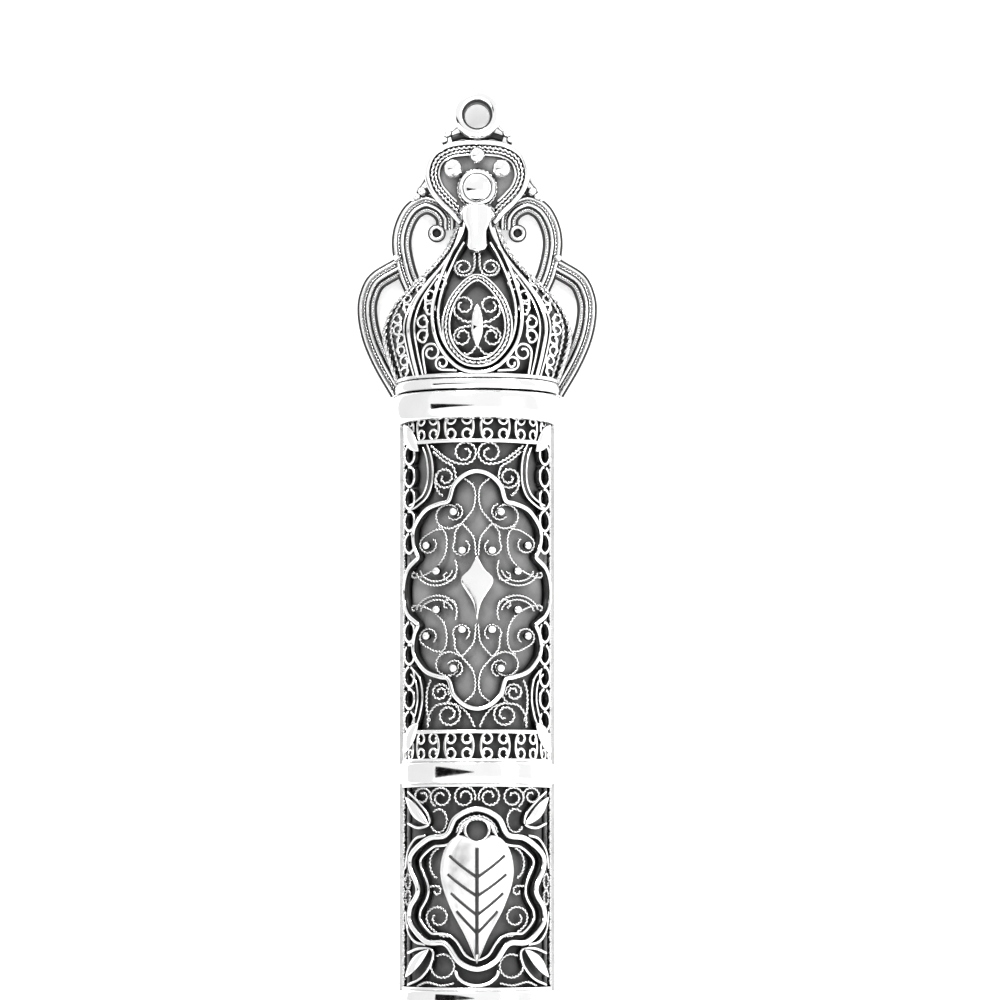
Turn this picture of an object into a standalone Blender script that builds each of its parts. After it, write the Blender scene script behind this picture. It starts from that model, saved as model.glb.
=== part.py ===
"""Filigree mezuzah case: a D-section silver tube of openwork panels, a lift-off crown and a fixed foot.

Frame: the wall is the plane y = 0 and the case stands in front of it, towards -Y. Z points up and X to
the right. The origin is on the back plate's rear face, at the middle of the centre panel. Lengths are in
metres.
"""

import math

import bmesh
import bpy
from mathutils import Vector

MM = 0.001

# Driving dimensions.
SIDE_DEPTH = 3.0 * MM  # straight side walls, from the wall to where the half-round front starts
SHEET = 0.5 * MM  # plain sheet that the liner, neck and sleeve are bent from
BACK_SHEET = 0.8 * MM  # flat back plates
JOINT_GAP = 0.1 * MM  # left between two pieces that are soldered together
SLIP_GAP = 0.15 * MM  # clearance of the lift-off crown on the tube

LINER_RADIUS = 9.0 * MM
PANEL_RADIUS = 9.7 * MM
PANEL_SHEET = 0.55 * MM
BAND_RADIUS = 10.1 * MM
COLLAR_RADIUS = 11.2 * MM
BEAD_RADIUS = 10.7 * MM

CENTRE_PANEL_HEIGHT = 26.4 * MM
BAND_HEIGHT = 2.9 * MM
LONG_PANEL_HEIGHT = 45.2 * MM
COLLAR_HEIGHT = 3.8 * MM
COLLAR_LAP = 1.1 * MM  # how far the crown's collar covers the top of the upper panel
BEAD_HEIGHT = 1.35 * MM
NECK_RISE = 7.5 * MM  # how far the neck stands above the tube, inside the crown
NECK_SEAT = 5.0 * MM  # how far the neck reaches down into the liner

WIRE_RADIUS = 0.3 * MM  # plain round wire of the cartouches and the teardrop
LOOP_RADIUS = 0.75 * MM  # doubled wire of the crown's side loops
ARCH_RADIUS = 0.5 * MM
RING_RADIUS = 3.2 * MM
RING_HOLE_RADIUS = 1.85 * MM  # takes a 3 mm nail
RING_DEPTH = 2.4 * MM

SCROLL_RADIUS = 4.4 * MM
SCROLL_LENGTH = 120.0 * MM
SCROLL_SHEET = 0.3 * MM
SCROLL_PITCH = 0.85 * MM
SCROLL_TURNS = 3

# Places that follow from them.
CENTRE_TOP = CENTRE_PANEL_HEIGHT / 2
UPPER_PANEL_MIDDLE = CENTRE_TOP + BAND_HEIGHT + LONG_PANEL_HEIGHT / 2
TUBE_TOP = CENTRE_TOP + BAND_HEIGHT + LONG_PANEL_HEIGHT
COLLAR_BOTTOM = TUBE_TOP - COLLAR_LAP
COLLAR_TOP = COLLAR_BOTTOM + COLLAR_HEIGHT
CROWN_BASE = COLLAR_TOP + BEAD_HEIGHT + 2 * JOINT_GAP
NECK_TOP = TUBE_TOP + NECK_RISE
NECK_RADIUS = LINER_RADIUS - SHEET - JOINT_GAP
PANEL_MIDDLE_RADIUS = PANEL_RADIUS - PANEL_SHEET / 2
FRONT_FACE_Y = -BACK_SHEET - JOINT_GAP  # where pieces that stand on the back plates begin

# The onion dome's outline: (height above its base, half-width), in millimetres.
DOME_KNOTS_MM = (
    (0, 10.4), (3.4, 11.5), (6.8, 12.2), (9.8, 11.2), (12.6, 8.6), (15.4, 5.9), (18.4, 3.6), (23.4, 1.7)
)
DOME_HEIGHT = 23.4 * MM
DOME_SLOPE = 1.45  # how much farther out a wire must stand where the dome slopes most
DOME_DEPTH = 1.2  # depth of the dome as a share of its half-width
DOME_TURN_RADIUS = 10.0 * MM  # a flat dome piece is drawn at this distance round the dome
DOME_SKIN = 0.5 * MM  # openwork and inner dome alike
BOSS_HEIGHT = 25.95 * MM  # above the dome's base, as are the next two
BALL_HEIGHT = 28.45 * MM
TOP_BALL_HEIGHT = 30.2 * MM

ARC_STEPS = 16  # facets of a half-round


def clear_scene():
    for old in list(bpy.data.objects):
        bpy.data.objects.remove(old)


def collection(name):
    made = bpy.data.collections.new(name)
    bpy.context.scene.collection.children.link(made)
    return made


def material(name, colour, roughness, metallic):
    made = bpy.data.materials.new(name)
    made.use_nodes = True
    shader = made.node_tree.nodes["Principled BSDF"]
    shader.inputs["Base Color"].default_value = (*colour, 1)
    shader.inputs["Roughness"].default_value = roughness
    shader.inputs["Metallic"].default_value = metallic
    return made


clear_scene()
PARTS = collection("mezuzah_case")
POLISHED = material("polished_silver", (0.93, 0.93, 0.92), 0.08, 1.0)
FILIGREE = material("filigree_silver", (0.86, 0.86, 0.85), 0.22, 1.0)
OXIDISED = material("oxidised_silver", (0.30, 0.30, 0.30), 0.35, 1.0)
PARCHMENT = material("parchment", (0.80, 0.70, 0.52), 0.7, 0.0)


def empty(name, location, rotation=(0, 0, 0)):
    made = bpy.data.objects.new(name, None)
    PARTS.objects.link(made)
    made.location = location
    made.rotation_euler = rotation
    return made


CASE = empty("case_frame", (0, 0, 0))
CROWN = empty("crown_slide_axis", (0, 0, CROWN_BASE))
FOOT = empty("foot_frame", (0, 0, -CROWN_BASE), (0, math.pi, 0))
ROLL = empty("scroll_slide_axis", (0, FRONT_FACE_Y - SHEET - 0.3 * MM - SCROLL_RADIUS, 0))


def add_piece(name, data, finish, parent, location=(0, 0, 0), rotation=(0, 0, 0)):
    piece = bpy.data.objects.new(name, data)
    PARTS.objects.link(piece)
    piece.parent = parent
    piece.location = location
    piece.rotation_euler = rotation
    data.materials.clear()
    data.materials.append(finish)
    return piece


def add_modifier(piece, kind, **settings):
    made = piece.modifiers.new(kind.title(), kind)
    for key, value in settings.items():
        setattr(made, key, value)
    return made


def soften(piece, width, segments=1):
    """Rounds the sharp edges, and shades the facets of round stretches smooth."""
    limit = math.radians(40)
    add_modifier(piece, "BEVEL", width=width, segments=segments, limit_method="ANGLE", angle_limit=limit)
    piece.data.shade_smooth()
    piece.data.set_sharp_from_angle(angle=math.radians(35))
    return piece


# Outlines, as lists of (x, y).


def arc(centre, radius, start, end, steps):
    """Points on a circle from one angle to another, both included, in degrees anticlockwise from +X."""
    angles = [math.radians(start + (end - start) * k / steps) for k in range(steps + 1)]
    return [(centre[0] + radius * math.cos(a), centre[1] + radius * math.sin(a)) for a in angles]


def oval(centre, half_width, half_height, steps=8):
    angles = [2 * math.pi * (k + 0.5) / steps for k in range(steps)]
    return [(centre[0] + half_width * math.cos(a), centre[1] + half_height * math.sin(a)) for a in angles]


def bulging(start, end, bulge, steps):
    """A circular arc from start to end that stands bulge out to its left; the end point is left off."""
    start, end = Vector(start), Vector(end)
    chord = end - start
    side = Vector((-chord.y, chord.x)).normalized()
    radius = (chord.length**2 / 4 + bulge**2) / (2 * bulge)
    centre = (start + end) / 2 + side * (bulge - radius)
    first, last = start - centre, end - centre
    turn = first.angle_signed(last)
    if turn < 0 and bulge > chord.length / 2:
        turn += 2 * math.pi
    points = []
    for k in range(steps):
        a = -turn * k / steps
        cos, sin = math.cos(a), math.sin(a)
        spun = Vector((first.x * cos - first.y * sin, first.x * sin + first.y * cos))
        points.append(tuple(centre + spun))
    return points


def lobed(corners, bulges, steps=5):
    """A closed outline of arcs that bulge outwards between corners, which run clockwise."""
    points = []
    for k, start in enumerate(corners):
        points += bulging(start, corners[(k + 1) % len(corners)], bulges[k], steps)
    return points


def mirrored(half):
    """Closes an outline whose right half runs from bottom to top."""
    return list(half) + [(-x, y) for x, y in reversed(half) if abs(x) > 1e-9]


def d_outline(radius, back_y):
    """The tube's D section: a half-round front, straight sides and a flat back at back_y."""
    front = arc((0, -SIDE_DEPTH), radius, 180, 360, ARC_STEPS)
    return [(-radius, back_y)] + front + [(radius, back_y)]


def u_section(outer_radius, inner_radius, back_y):
    """Half-round front and straight sides with the back left open."""
    outer = [(-outer_radius, back_y)] + arc((0, -SIDE_DEPTH), outer_radius, 180, 360, ARC_STEPS)
    outer.append((outer_radius, back_y))
    inner = [(inner_radius, back_y)] + arc((0, -SIDE_DEPTH), inner_radius, 360, 180, ARC_STEPS)
    inner.append((-inner_radius, back_y))
    return outer + inner


# Shapes.


def outline_curve(name, outlines, thickness):
    """A flat plate in the XY plane: the first outline is its edge, and the others are holes."""
    curve = bpy.data.curves.new(name, "CURVE")
    curve.dimensions = "2D"
    curve.fill_mode = "BOTH"
    curve.extrude = thickness / 2
    for points in outlines:
        spline = curve.splines.new("POLY")
        spline.points.add(len(points) - 1)
        for corner, (x, y) in zip(spline.points, points):
            corner.co = (x, y, 0, 1)
        spline.use_cyclic_u = True
    return curve


def as_mesh(name, data):
    """A curve's solid as a mesh, with its loose caps welded on."""
    source = bpy.data.objects.new(name + "_curve", data)
    PARTS.objects.link(source)
    bpy.context.view_layer.update()
    graph = bpy.context.evaluated_depsgraph_get()
    mesh = bpy.data.meshes.new_from_object(source.evaluated_get(graph))
    mesh.name = name
    work = bmesh.new()
    work.from_mesh(mesh)
    bmesh.ops.remove_doubles(work, verts=work.verts, dist=0.001 * MM)
    work.to_mesh(mesh)
    work.free()
    bpy.data.objects.remove(source)
    return mesh


def level_ring(name, outlines, bottom, top, finish, parent, edge=0.0):
    """A plate or ring whose outline lies level, between two heights."""
    mesh = as_mesh(name, outline_curve(name, outlines, top - bottom))
    piece = add_piece(name, mesh, finish, parent, (0, 0, (bottom + top) / 2))
    return soften(piece, edge) if edge else piece


def standing_plate(name, outlines, back_y, thickness, finish, parent, edge=0.0, at=(0, 0)):
    """A plate drawn in X and Z, standing parallel to the wall, with its rear face at back_y."""
    mesh = as_mesh(name, outline_curve(name, outlines, thickness))
    place = (at[0], back_y - thickness / 2, at[1])
    piece = add_piece(name, mesh, finish, parent, place, (math.pi / 2, 0, 0))
    return soften(piece, edge) if edge else piece


def wire(name, points, radius, finish, parent, closed=False):
    """Round wire along points."""
    curve = bpy.data.curves.new(name, "CURVE")
    curve.dimensions = "3D"
    curve.bevel_depth = radius
    curve.bevel_resolution = 1
    curve.use_fill_caps = True
    spline = curve.splines.new("POLY")
    spline.points.add(len(points) - 1)
    for corner, point in zip(spline.points, points):
        corner.co = (*point, 1)
    spline.use_cyclic_u = closed
    return add_piece(name, curve, finish, parent)


def smooth_path(points, steps=2):
    """A Catmull-Rom curve through points, which may be 2D or 3D."""
    knots = [Vector(p) for p in points]
    knots = [2 * knots[0] - knots[1]] + knots + [2 * knots[-1] - knots[-2]]
    path = []
    for a, b, c, d in zip(knots, knots[1:], knots[2:], knots[3:]):
        for k in range(steps):
            t = k / steps
            bend = (2 * a - 5 * b + 4 * c - d) * t**2 + (3 * b - a - 3 * c + d) * t**3
            path.append(0.5 * (2 * b + (c - a) * t + bend))
    return path + [knots[-2]]


def ball(name, radius, finish, parent, location, flatten=1.0, segments=10, rings=7):
    """A ball, or with flatten below 1 a lens that faces -Y."""
    mesh = bpy.data.meshes.new(name)
    work = bmesh.new()
    bmesh.ops.create_uvsphere(work, u_segments=segments, v_segments=rings, radius=radius)
    bmesh.ops.scale(work, vec=(1, flatten, 1), verts=work.verts)
    work.to_mesh(mesh)
    work.free()
    mesh.shade_smooth()
    return add_piece(name, mesh, finish, parent, location)


def open_sheet(name, path, height, thickness, finish, parent, location):
    """Sheet bent along a level path, which is its middle surface."""
    curve = bpy.data.curves.new(name, "CURVE")
    curve.dimensions = "2D"
    curve.fill_mode = "NONE"
    curve.extrude = height / 2
    spline = curve.splines.new("POLY")
    spline.points.add(len(path) - 1)
    for corner, (x, y) in zip(spline.points, path):
        corner.co = (x, y, 0, 1)
    piece = add_piece(name, as_mesh(name, curve), finish, parent, location)
    add_modifier(piece, "SOLIDIFY", thickness=thickness, offset=0, use_even_offset=True)
    return piece


# Surfaces that flat pieces are bent onto. Each takes (distance round, height, lift off the surface).


def tube_point(around, height, lift):
    radius = PANEL_MIDDLE_RADIUS + lift
    quarter = math.pi / 2 * PANEL_MIDDLE_RADIUS
    if abs(around) <= quarter:
        angle = around / PANEL_MIDDLE_RADIUS
        return Vector((radius * math.sin(angle), -SIDE_DEPTH - radius * math.cos(angle), height))
    return Vector((math.copysign(radius, around), -SIDE_DEPTH + abs(around) - quarter, height))


def dome_radius(height):
    """The onion dome's half-width at a height above its base."""
    for (low, low_radius), (high, high_radius) in zip(DOME_KNOTS_MM, DOME_KNOTS_MM[1:]):
        if height <= high * MM:
            share = (height / MM - low) / (high - low)
            return (low_radius + (high_radius - low_radius) * share) * MM
    return DOME_KNOTS_MM[-1][1] * MM


def dome_point(around, height, lift):
    radius = dome_radius(height) + lift
    angle = around / DOME_TURN_RADIUS
    return Vector((radius * math.sin(angle), FRONT_FACE_Y - DOME_DEPTH * radius * math.cos(angle), height))


def bent_plate(name, outlines, thickness, surface, lift, finish, parent, cuts, height=0.0):
    """A flat plate bent onto a surface. cuts is the spacing of the folds round it and up it; 0 leaves
    them out."""
    mesh = as_mesh(name, outline_curve(name, outlines, thickness))
    work = bmesh.new()
    work.from_mesh(mesh)
    for axis, spacing in enumerate(cuts):
        if not spacing:
            continue
        normal = Vector((1 - axis, axis, 0))
        reach = max(abs(v.co[axis]) for v in work.verts)
        count = int(reach / spacing)
        for k in range(-count, count + 1):
            everything = work.verts[:] + work.edges[:] + work.faces[:]
            bmesh.ops.bisect_plane(
                work, geom=everything, plane_co=normal * k * spacing, plane_no=normal, dist=0.002 * MM
            )
    for vertex in work.verts:
        vertex.co = surface(vertex.co.x, vertex.co.y + height, vertex.co.z + lift)
    work.to_mesh(mesh)
    work.free()
    return add_piece(name, mesh, finish, parent)


class Sheet:
    """A closed sheet between two lifts off a surface, put together face by face."""

    def __init__(self, surface, outer_lift, inner_lift):
        self.surface = surface
        self.lifts = (outer_lift, inner_lift)
        self.work = bmesh.new()
        self.known = {}

    def corner(self, place, skin):
        key = (round(place[0], 9), round(place[1], 9), skin)
        if key not in self.known:
            self.known[key] = self.work.verts.new(self.surface(*place, self.lifts[skin]))
        return self.known[key]

    def face(self, *places):
        for skin in (0, 1):
            self.work.faces.new([self.corner(p, skin) for p in places])

    def rim(self, places):
        """Joins the two skins along a closed line of places."""
        for start, end in zip(places, places[1:] + places[:1]):
            self.work.faces.new(
                (self.corner(start, 0), self.corner(end, 0), self.corner(end, 1), self.corner(start, 1))
            )

    def pierced_cell(self, left, right, low, high, share=0.64):
        """A cell of the sheet with a six-sided hole in it."""
        x, y = (left + right) / 2, (low + high) / 2
        w, t = share * (right - left) / 2, share * (high - low) / 2
        top, upper_right, lower_right = (x, y + t), (x + w, y + t / 2), (x + w, y - t / 2)
        bottom, lower_left, upper_left = (x, y - t), (x - w, y - t / 2), (x - w, y + t / 2)
        sw, se, ne, nw = (left, low), (right, low), (right, high), (left, high)
        self.face(sw, se, bottom)
        self.face(se, lower_right, bottom)
        self.face(sw, bottom, lower_left)
        self.face(se, ne, upper_right, lower_right)
        self.face(ne, nw, top)
        self.face(ne, top, upper_right)
        self.face(nw, upper_left, top)
        self.face(nw, sw, lower_left, upper_left)
        self.rim([top, upper_right, lower_right, bottom, lower_left, upper_left])

    def grid(self, columns, rows, is_open):
        for i, (left, right) in enumerate(zip(columns, columns[1:])):
            for j, (low, high) in enumerate(zip(rows, rows[1:])):
                if is_open(i, j):
                    self.pierced_cell(left, right, low, high)
                else:
                    self.face((left, low), (right, low), (right, high), (left, high))
        edge = [(x, rows[0]) for x in columns] + [(columns[-1], y) for y in rows[1:]]
        edge += [(x, rows[-1]) for x in columns[-2::-1]] + [(columns[0], y) for y in rows[-2:0:-1]]
        self.rim(edge)

    def piece(self, name, finish, parent):
        mesh = bpy.data.meshes.new(name)
        bmesh.ops.recalc_face_normals(self.work, faces=self.work.faces)
        self.work.to_mesh(mesh)
        self.work.free()
        mesh.shade_smooth()
        mesh.set_sharp_from_angle(angle=math.radians(40))
        return add_piece(name, mesh, finish, parent)


def evenly(start, end, steps):
    return [start + (end - start) * k / steps for k in range(steps + 1)]


# The tube.

PANEL_HALF_WIDTH = math.pi / 2 * PANEL_MIDDLE_RADIUS + SIDE_DEPTH + FRONT_FACE_Y
PLAQUE_LIFT = PANEL_SHEET / 2 + JOINT_GAP


def rectangle(half_width, half_height):
    w, h = half_width, half_height
    return [(-w, -h), (w, -h), (w, h), (-w, h)]


def openwork_panel(name, middle, height, rows):
    """A pierced panel bent round the tube, with plain margins along the back plate."""
    sheet = Sheet(tube_point, PANEL_SHEET / 2, -PANEL_SHEET / 2)
    quarter = math.pi / 2 * PANEL_MIDDLE_RADIUS
    columns = [-PANEL_HALF_WIDTH] + evenly(-quarter, quarter, 10) + [PANEL_HALF_WIDTH]
    half = height / 2 - JOINT_GAP
    sheet.grid(columns, evenly(middle - half, middle + half, rows), lambda i, j: 0 < i < 11)
    sheet.piece(name, FILIGREE, CASE)


def four_corners(*quarter):
    """The upper right quarter's corners, repeated round an outline, clockwise from the top left one."""
    right = list(quarter) + [(x, -y) for x, y in reversed(quarter) if y]
    left = [(-x, y) for x, y in reversed(right) if x]
    return [(x * MM, y * MM) for x, y in right + left]


def cartouche(name, corners, bulges, middle):
    """A closed frame of plain wire on the tube, made of lobes."""
    outline = lobed(corners, [b * MM for b in bulges])
    path = [tube_point(x, y + middle, PLAQUE_LIFT + WIRE_RADIUS) for x, y in outline]
    wire(name, path, WIRE_RADIUS, POLISHED, CASE, closed=True)


def leaf_outline(length, width, tilt):
    """A pointed leaf of two arcs about the origin, its length at tilt degrees above +X."""
    along = Vector((math.cos(math.radians(tilt)), math.sin(math.radians(tilt)))) * length / 2
    return bulging(-along, along, width / 2, 4) + bulging(along, -along, width / 2, 4)


def leaf(name, across, height, length, width, tilt):
    outline = [(x + across, y) for x, y in leaf_outline(length, width, tilt)]
    step = PANEL_MIDDLE_RADIUS * math.pi / 16
    lift = PLAQUE_LIFT + PANEL_SHEET / 2
    bent_plate(name, [outline], PANEL_SHEET, tube_point, lift, POLISHED, CASE, (step, 0), height)


def diamond(name, middle):
    """A kite-shaped plaque in the middle of a long panel."""
    kite = [(0, -3.8), (0.7, -1.6), (1.95, 0.45), (0, 3.9)]
    outline = mirrored([(x * MM, y * MM) for x, y in kite])
    rear = -SIDE_DEPTH - PANEL_RADIUS - JOINT_GAP
    standing_plate(name, [outline], rear, PANEL_SHEET, POLISHED, CASE, edge=0.15 * MM, at=(0, middle))


def centre_leaf():
    """A broad polished leaf, point down, in the middle of the centre panel."""
    knots = [(0, -9.6), (1.5, -6.2), (3.6, -2.6), (4.7, 1.4), (3.7, 4.9), (1.5, 6.1), (0, 5.2)]
    right_half = smooth_path(knots)
    outline = mirrored([(p.x * MM, p.y * MM) for p in right_half])
    lift = PLAQUE_LIFT + 0.5 * MM
    bent_plate("centre_leaf", [outline], 0.8 * MM, tube_point, lift, POLISHED, CASE, (2.4 * MM, 0))


def build_tube():
    flat_height = 2 * COLLAR_BOTTOM - 2 * JOINT_GAP
    standing_plate("back_plate", [rectangle(BAND_RADIUS, flat_height / 2)], 0, BACK_SHEET, POLISHED, CASE)

    middle_radius = LINER_RADIUS - SHEET / 2
    path = [(-middle_radius, FRONT_FACE_Y)] + arc((0, -SIDE_DEPTH), middle_radius, 180, 360, ARC_STEPS)
    path.append((middle_radius, FRONT_FACE_Y))
    open_sheet("inner_liner", path, 2 * TUBE_TOP, SHEET, OXIDISED, CASE, (0, 0, 0))

    neck = [d_outline(NECK_RADIUS, FRONT_FACE_Y), d_outline(NECK_RADIUS - SHEET, FRONT_FACE_Y - SHEET)]
    level_ring("neck", neck, TUBE_TOP - NECK_SEAT, NECK_TOP, POLISHED, CASE)

    for name, low in (("upper_band", CENTRE_TOP), ("lower_band", -CENTRE_TOP - BAND_HEIGHT)):
        section = u_section(BAND_RADIUS, LINER_RADIUS + JOINT_GAP, FRONT_FACE_Y)
        level_ring(name, [section], low, low + BAND_HEIGHT, POLISHED, CASE, edge=0.3 * MM)

    openwork_panel("upper_panel", UPPER_PANEL_MIDDLE, LONG_PANEL_HEIGHT, 7)
    openwork_panel("lower_panel", -UPPER_PANEL_MIDDLE, LONG_PANEL_HEIGHT, 7)
    openwork_panel("centre_panel", 0, CENTRE_PANEL_HEIGHT, 4)

    # Corners run clockwise from the top lobe's right end; the last lobe closes the top.
    long_corners = four_corners((3.6, 11.4), (7.5, 4.6))
    long_bulges = (3.2, 4.0, 3.2, 3.8, 3.2, 4.0, 3.2, 3.8)
    cartouche("upper_cartouche", long_corners, long_bulges, UPPER_PANEL_MIDDLE)
    cartouche("lower_cartouche", long_corners, long_bulges, -UPPER_PANEL_MIDDLE)
    cartouche("centre_cartouche", four_corners((3.8, 6.8), (7.6, 0)), (3.4, 3.4, 3.5, 3.4, 3.4, 3.5), 0)

    diamond("upper_diamond", UPPER_PANEL_MIDDLE)
    diamond("lower_diamond", -UPPER_PANEL_MIDDLE)
    centre_leaf()
    for side_name, side in (("left", -1), ("right", 1)):
        for level_name, level in (("top", 1), ("bottom", -1)):
            corner = f"{level_name}_{side_name}"
            tilt = 26 * side * level
            leaf(f"centre_leaf_{corner}", side * 10.0 * MM, level * 9.6 * MM, 6.6 * MM, 1.5 * MM, tilt)
            for panel, middle in (("upper", UPPER_PANEL_MIDDLE), ("lower", -UPPER_PANEL_MIDDLE)):
                height = middle + level * 19.0 * MM
                tilt = 36 * side * level
                leaf(f"{panel}_leaf_{corner}", side * 12.1 * MM, height, 5.4 * MM, 2.0 * MM, tilt)


# Crown and foot, each in its own frame: Z runs away from the tube, from the base of the onion dome.


def d_ring(name, outer, inner, finish, parent):
    """A ring of D section round the tube. outer and inner are (height, radius) up its two faces."""
    levels = [(height, d_outline(radius, 0)) for height, radius in outer]
    inner_back = FRONT_FACE_Y + JOINT_GAP
    levels += [(height, d_outline(radius, inner_back)) for height, radius in reversed(inner)]
    mesh = bpy.data.meshes.new(name)
    work = bmesh.new()
    loops = [[work.verts.new((x, y, height)) for x, y in points] for height, points in levels]
    for low, high in zip(loops, loops[1:] + loops[:1]):
        for k in range(len(low)):
            n = (k + 1) % len(low)
            work.faces.new((low[k], low[n], high[n], high[k]))
    bmesh.ops.recalc_face_normals(work, faces=work.faces)
    work.to_mesh(mesh)
    work.free()
    mesh.shade_smooth()
    mesh.set_sharp_from_angle(angle=math.radians(50))
    return add_piece(name, mesh, finish, parent)


def end_mouldings(prefix, parent, slack):
    """The collar that laps the tube's end, and the bead beyond it."""
    bottom = COLLAR_BOTTOM - CROWN_BASE
    step = TUBE_TOP - CROWN_BASE + slack
    top = bottom + COLLAR_HEIGHT
    bore = NECK_RADIUS + slack
    swell = ((0, -0.8), (0.4, -0.25), (1.3, 0), (2.5, 0), (3.4, -0.25), (3.8, -0.8))
    outer = [(bottom + h * MM, COLLAR_RADIUS + r * MM) for h, r in swell]
    lap = PANEL_RADIUS + slack
    inner = [(bottom, lap), (step, lap), (step, bore), (top, bore)]
    d_ring(f"{prefix}_collar", outer, inner, POLISHED, parent)
    low, high = top + JOINT_GAP, top + JOINT_GAP + BEAD_HEIGHT
    round_edge = 0.35 * MM
    middle = (low + high) / 2
    outer = [(low, BEAD_RADIUS - round_edge), (middle, BEAD_RADIUS), (high, BEAD_RADIUS - round_edge)]
    d_ring(f"{prefix}_bead", outer, [(low, bore), (high, bore)], POLISHED, parent)


def dome(prefix, parent):
    """The smooth inner dome with a pierced one over it."""
    edge = math.pi / 2 * DOME_TURN_RADIUS
    columns = evenly(-edge, edge, 8)
    rows = [h * MM for h, r in DOME_KNOTS_MM]
    rows[0] += JOINT_GAP
    rows[-1] -= JOINT_GAP
    inner_lift = -DOME_SKIN / 2 - DOME_SLOPE * JOINT_GAP
    for name, lift, finish, open_rows in (
        ("dome", DOME_SKIN / 2, FILIGREE, 5),
        ("dome_liner", inner_lift, OXIDISED, 0),
    ):
        sheet = Sheet(dome_point, lift, lift - DOME_SKIN)
        sheet.grid(columns, rows, lambda i, j: j < open_rows)
        sheet.piece(f"{prefix}_{name}", finish, parent)


def dome_place(x, height):
    """A place on the dome's surface, just off it, from how far out it looks from the front."""
    around = math.asin(x / dome_radius(height)) * DOME_TURN_RADIUS
    return dome_point(around, height, DOME_SKIN / 2 + DOME_SLOPE * (JOINT_GAP + WIRE_RADIUS))


def dome_fittings(prefix, parent):
    """The wire teardrop on the dome's front, the leaf inside it and the calyx that tops the dome."""
    right = [(0, 0.6), (2.6, 1.4), (4.9, 4.2), (5.8, 7.9), (5.0, 11.6), (3.6, 14.8), (2.4, 17.2), (1.8, 19.0)]
    half = [dome_place(p.x, p.y) for p in smooth_path([(x * MM, y * MM) for x, y in right])]
    path = [Vector((-p.x, p.y, p.z)) for p in reversed(half[1:])] + half
    wire(f"{prefix}_teardrop", path, WIRE_RADIUS, POLISHED, parent)

    lift = DOME_SKIN / 2 + JOINT_GAP + PANEL_SHEET / 2
    marquise = leaf_outline(5.0 * MM, 1.2 * MM, 90)
    cuts = (0, 1.2 * MM)
    middle = 6.6 * MM
    bent_plate(f"{prefix}_marquise", [marquise], PANEL_SHEET, dome_point, lift, POLISHED, parent, cuts, middle)

    tongue = [(0, 16.9), (1.6, 17.2), (2.6, 18.2), (4.0, 20.0), (7.0, 21.4), (12.0, 22.4), (14.5, 23.2)]
    outline = mirrored([(x * MM, y * MM) for x, y in tongue])
    cuts = (2.6 * MM, 2.2 * MM)
    bent_plate(f"{prefix}_calyx", [outline], DOME_SKIN, dome_point, lift, POLISHED, parent, cuts)


def back_outline(with_top):
    """The flat back of a dome, and of the scrolled frame above it."""
    half = [(r, h) for h, r in DOME_KNOTS_MM]
    half[0] = (half[0][0], JOINT_GAP / MM)
    if with_top:
        half[-1:] = [(1.9, 22.2), (3.3, 23.6), (5.7, 25.8), (6.8, 28.4), (5.6, 31.0), (3.2, 32.1), (0, 32.3)]
    else:
        half.append((0, 23.4))
    return mirrored([(p.x * MM, p.y * MM) for p in smooth_path(half, 2)])


def side_loop(name, side, path_mm, parent):
    path = [(side * p.x * MM, -LOOP_RADIUS, p.y * MM) for p in smooth_path(path_mm)]
    wire(name, path, LOOP_RADIUS, POLISHED, parent)


def lower_loops(prefix, parent, inner_end=()):
    """inner_end carries the loops on to the dome, where no upper loops meet them."""
    path = [*inner_end, (11.7, 15.5), (13.4, 14.8), (14.7, 12.9)]
    path += [(15.1, 10.3), (14.6, 7.4), (13.3, 4.2), (11.7, 0.4)]
    side_loop(f"{prefix}_lower_loop_left", -1, path, parent)
    side_loop(f"{prefix}_lower_loop_right", 1, path, parent)


def eyelet(prefix, parent, height):
    """The nail ring. height is its lowest point's."""
    centre = (0, 0)
    outlines = [oval(centre, radius, radius, 20) for radius in (RING_RADIUS, RING_HOLE_RADIUS)]
    at = (0, height + RING_RADIUS)
    standing_plate(f"{prefix}_eyelet", outlines, 0, RING_DEPTH, POLISHED, parent, edge=0.35 * MM, at=at)


def crown_top():
    """What stands on the crown's back plate above the dome: a scrolled frame, a boss and three balls."""
    half = [(2.8, 23.9), (4.9, 25.6), (6.2, 28.4), (5.1, 30.7), (2.9, 31.6), (0, 31.8)]
    right = smooth_path(half)
    outline = right + [Vector((-p.x, p.y)) for p in reversed(right[:-1])]
    path = [(p.x * MM, FRONT_FACE_Y - ARCH_RADIUS, p.y * MM) for p in outline]
    wire("crown_top_frame", path, ARCH_RADIUS, POLISHED, CROWN)

    bezel = [oval((0, 0), 2.3 * MM, 2.3 * MM, 20), oval((0, 0), 1.95 * MM, 1.95 * MM, 20)]
    standing_plate("crown_boss_bezel", bezel, FRONT_FACE_Y, 1.7 * MM, POLISHED, CROWN, at=(0, BOSS_HEIGHT))
    ball("crown_boss", 1.85 * MM, POLISHED, CROWN, (0, -2.4 * MM, BOSS_HEIGHT), flatten=0.55)
    for name, x, height, radius in (
        ("crown_ball_left", -3.15, BALL_HEIGHT, 1.25),
        ("crown_ball_right", 3.15, BALL_HEIGHT, 1.25),
        ("crown_ball_top", 0, TOP_BALL_HEIGHT, 1.0),
    ):
        ball(name, radius * MM, POLISHED, CROWN, (x * MM, FRONT_FACE_Y - radius * MM, height))


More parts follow.
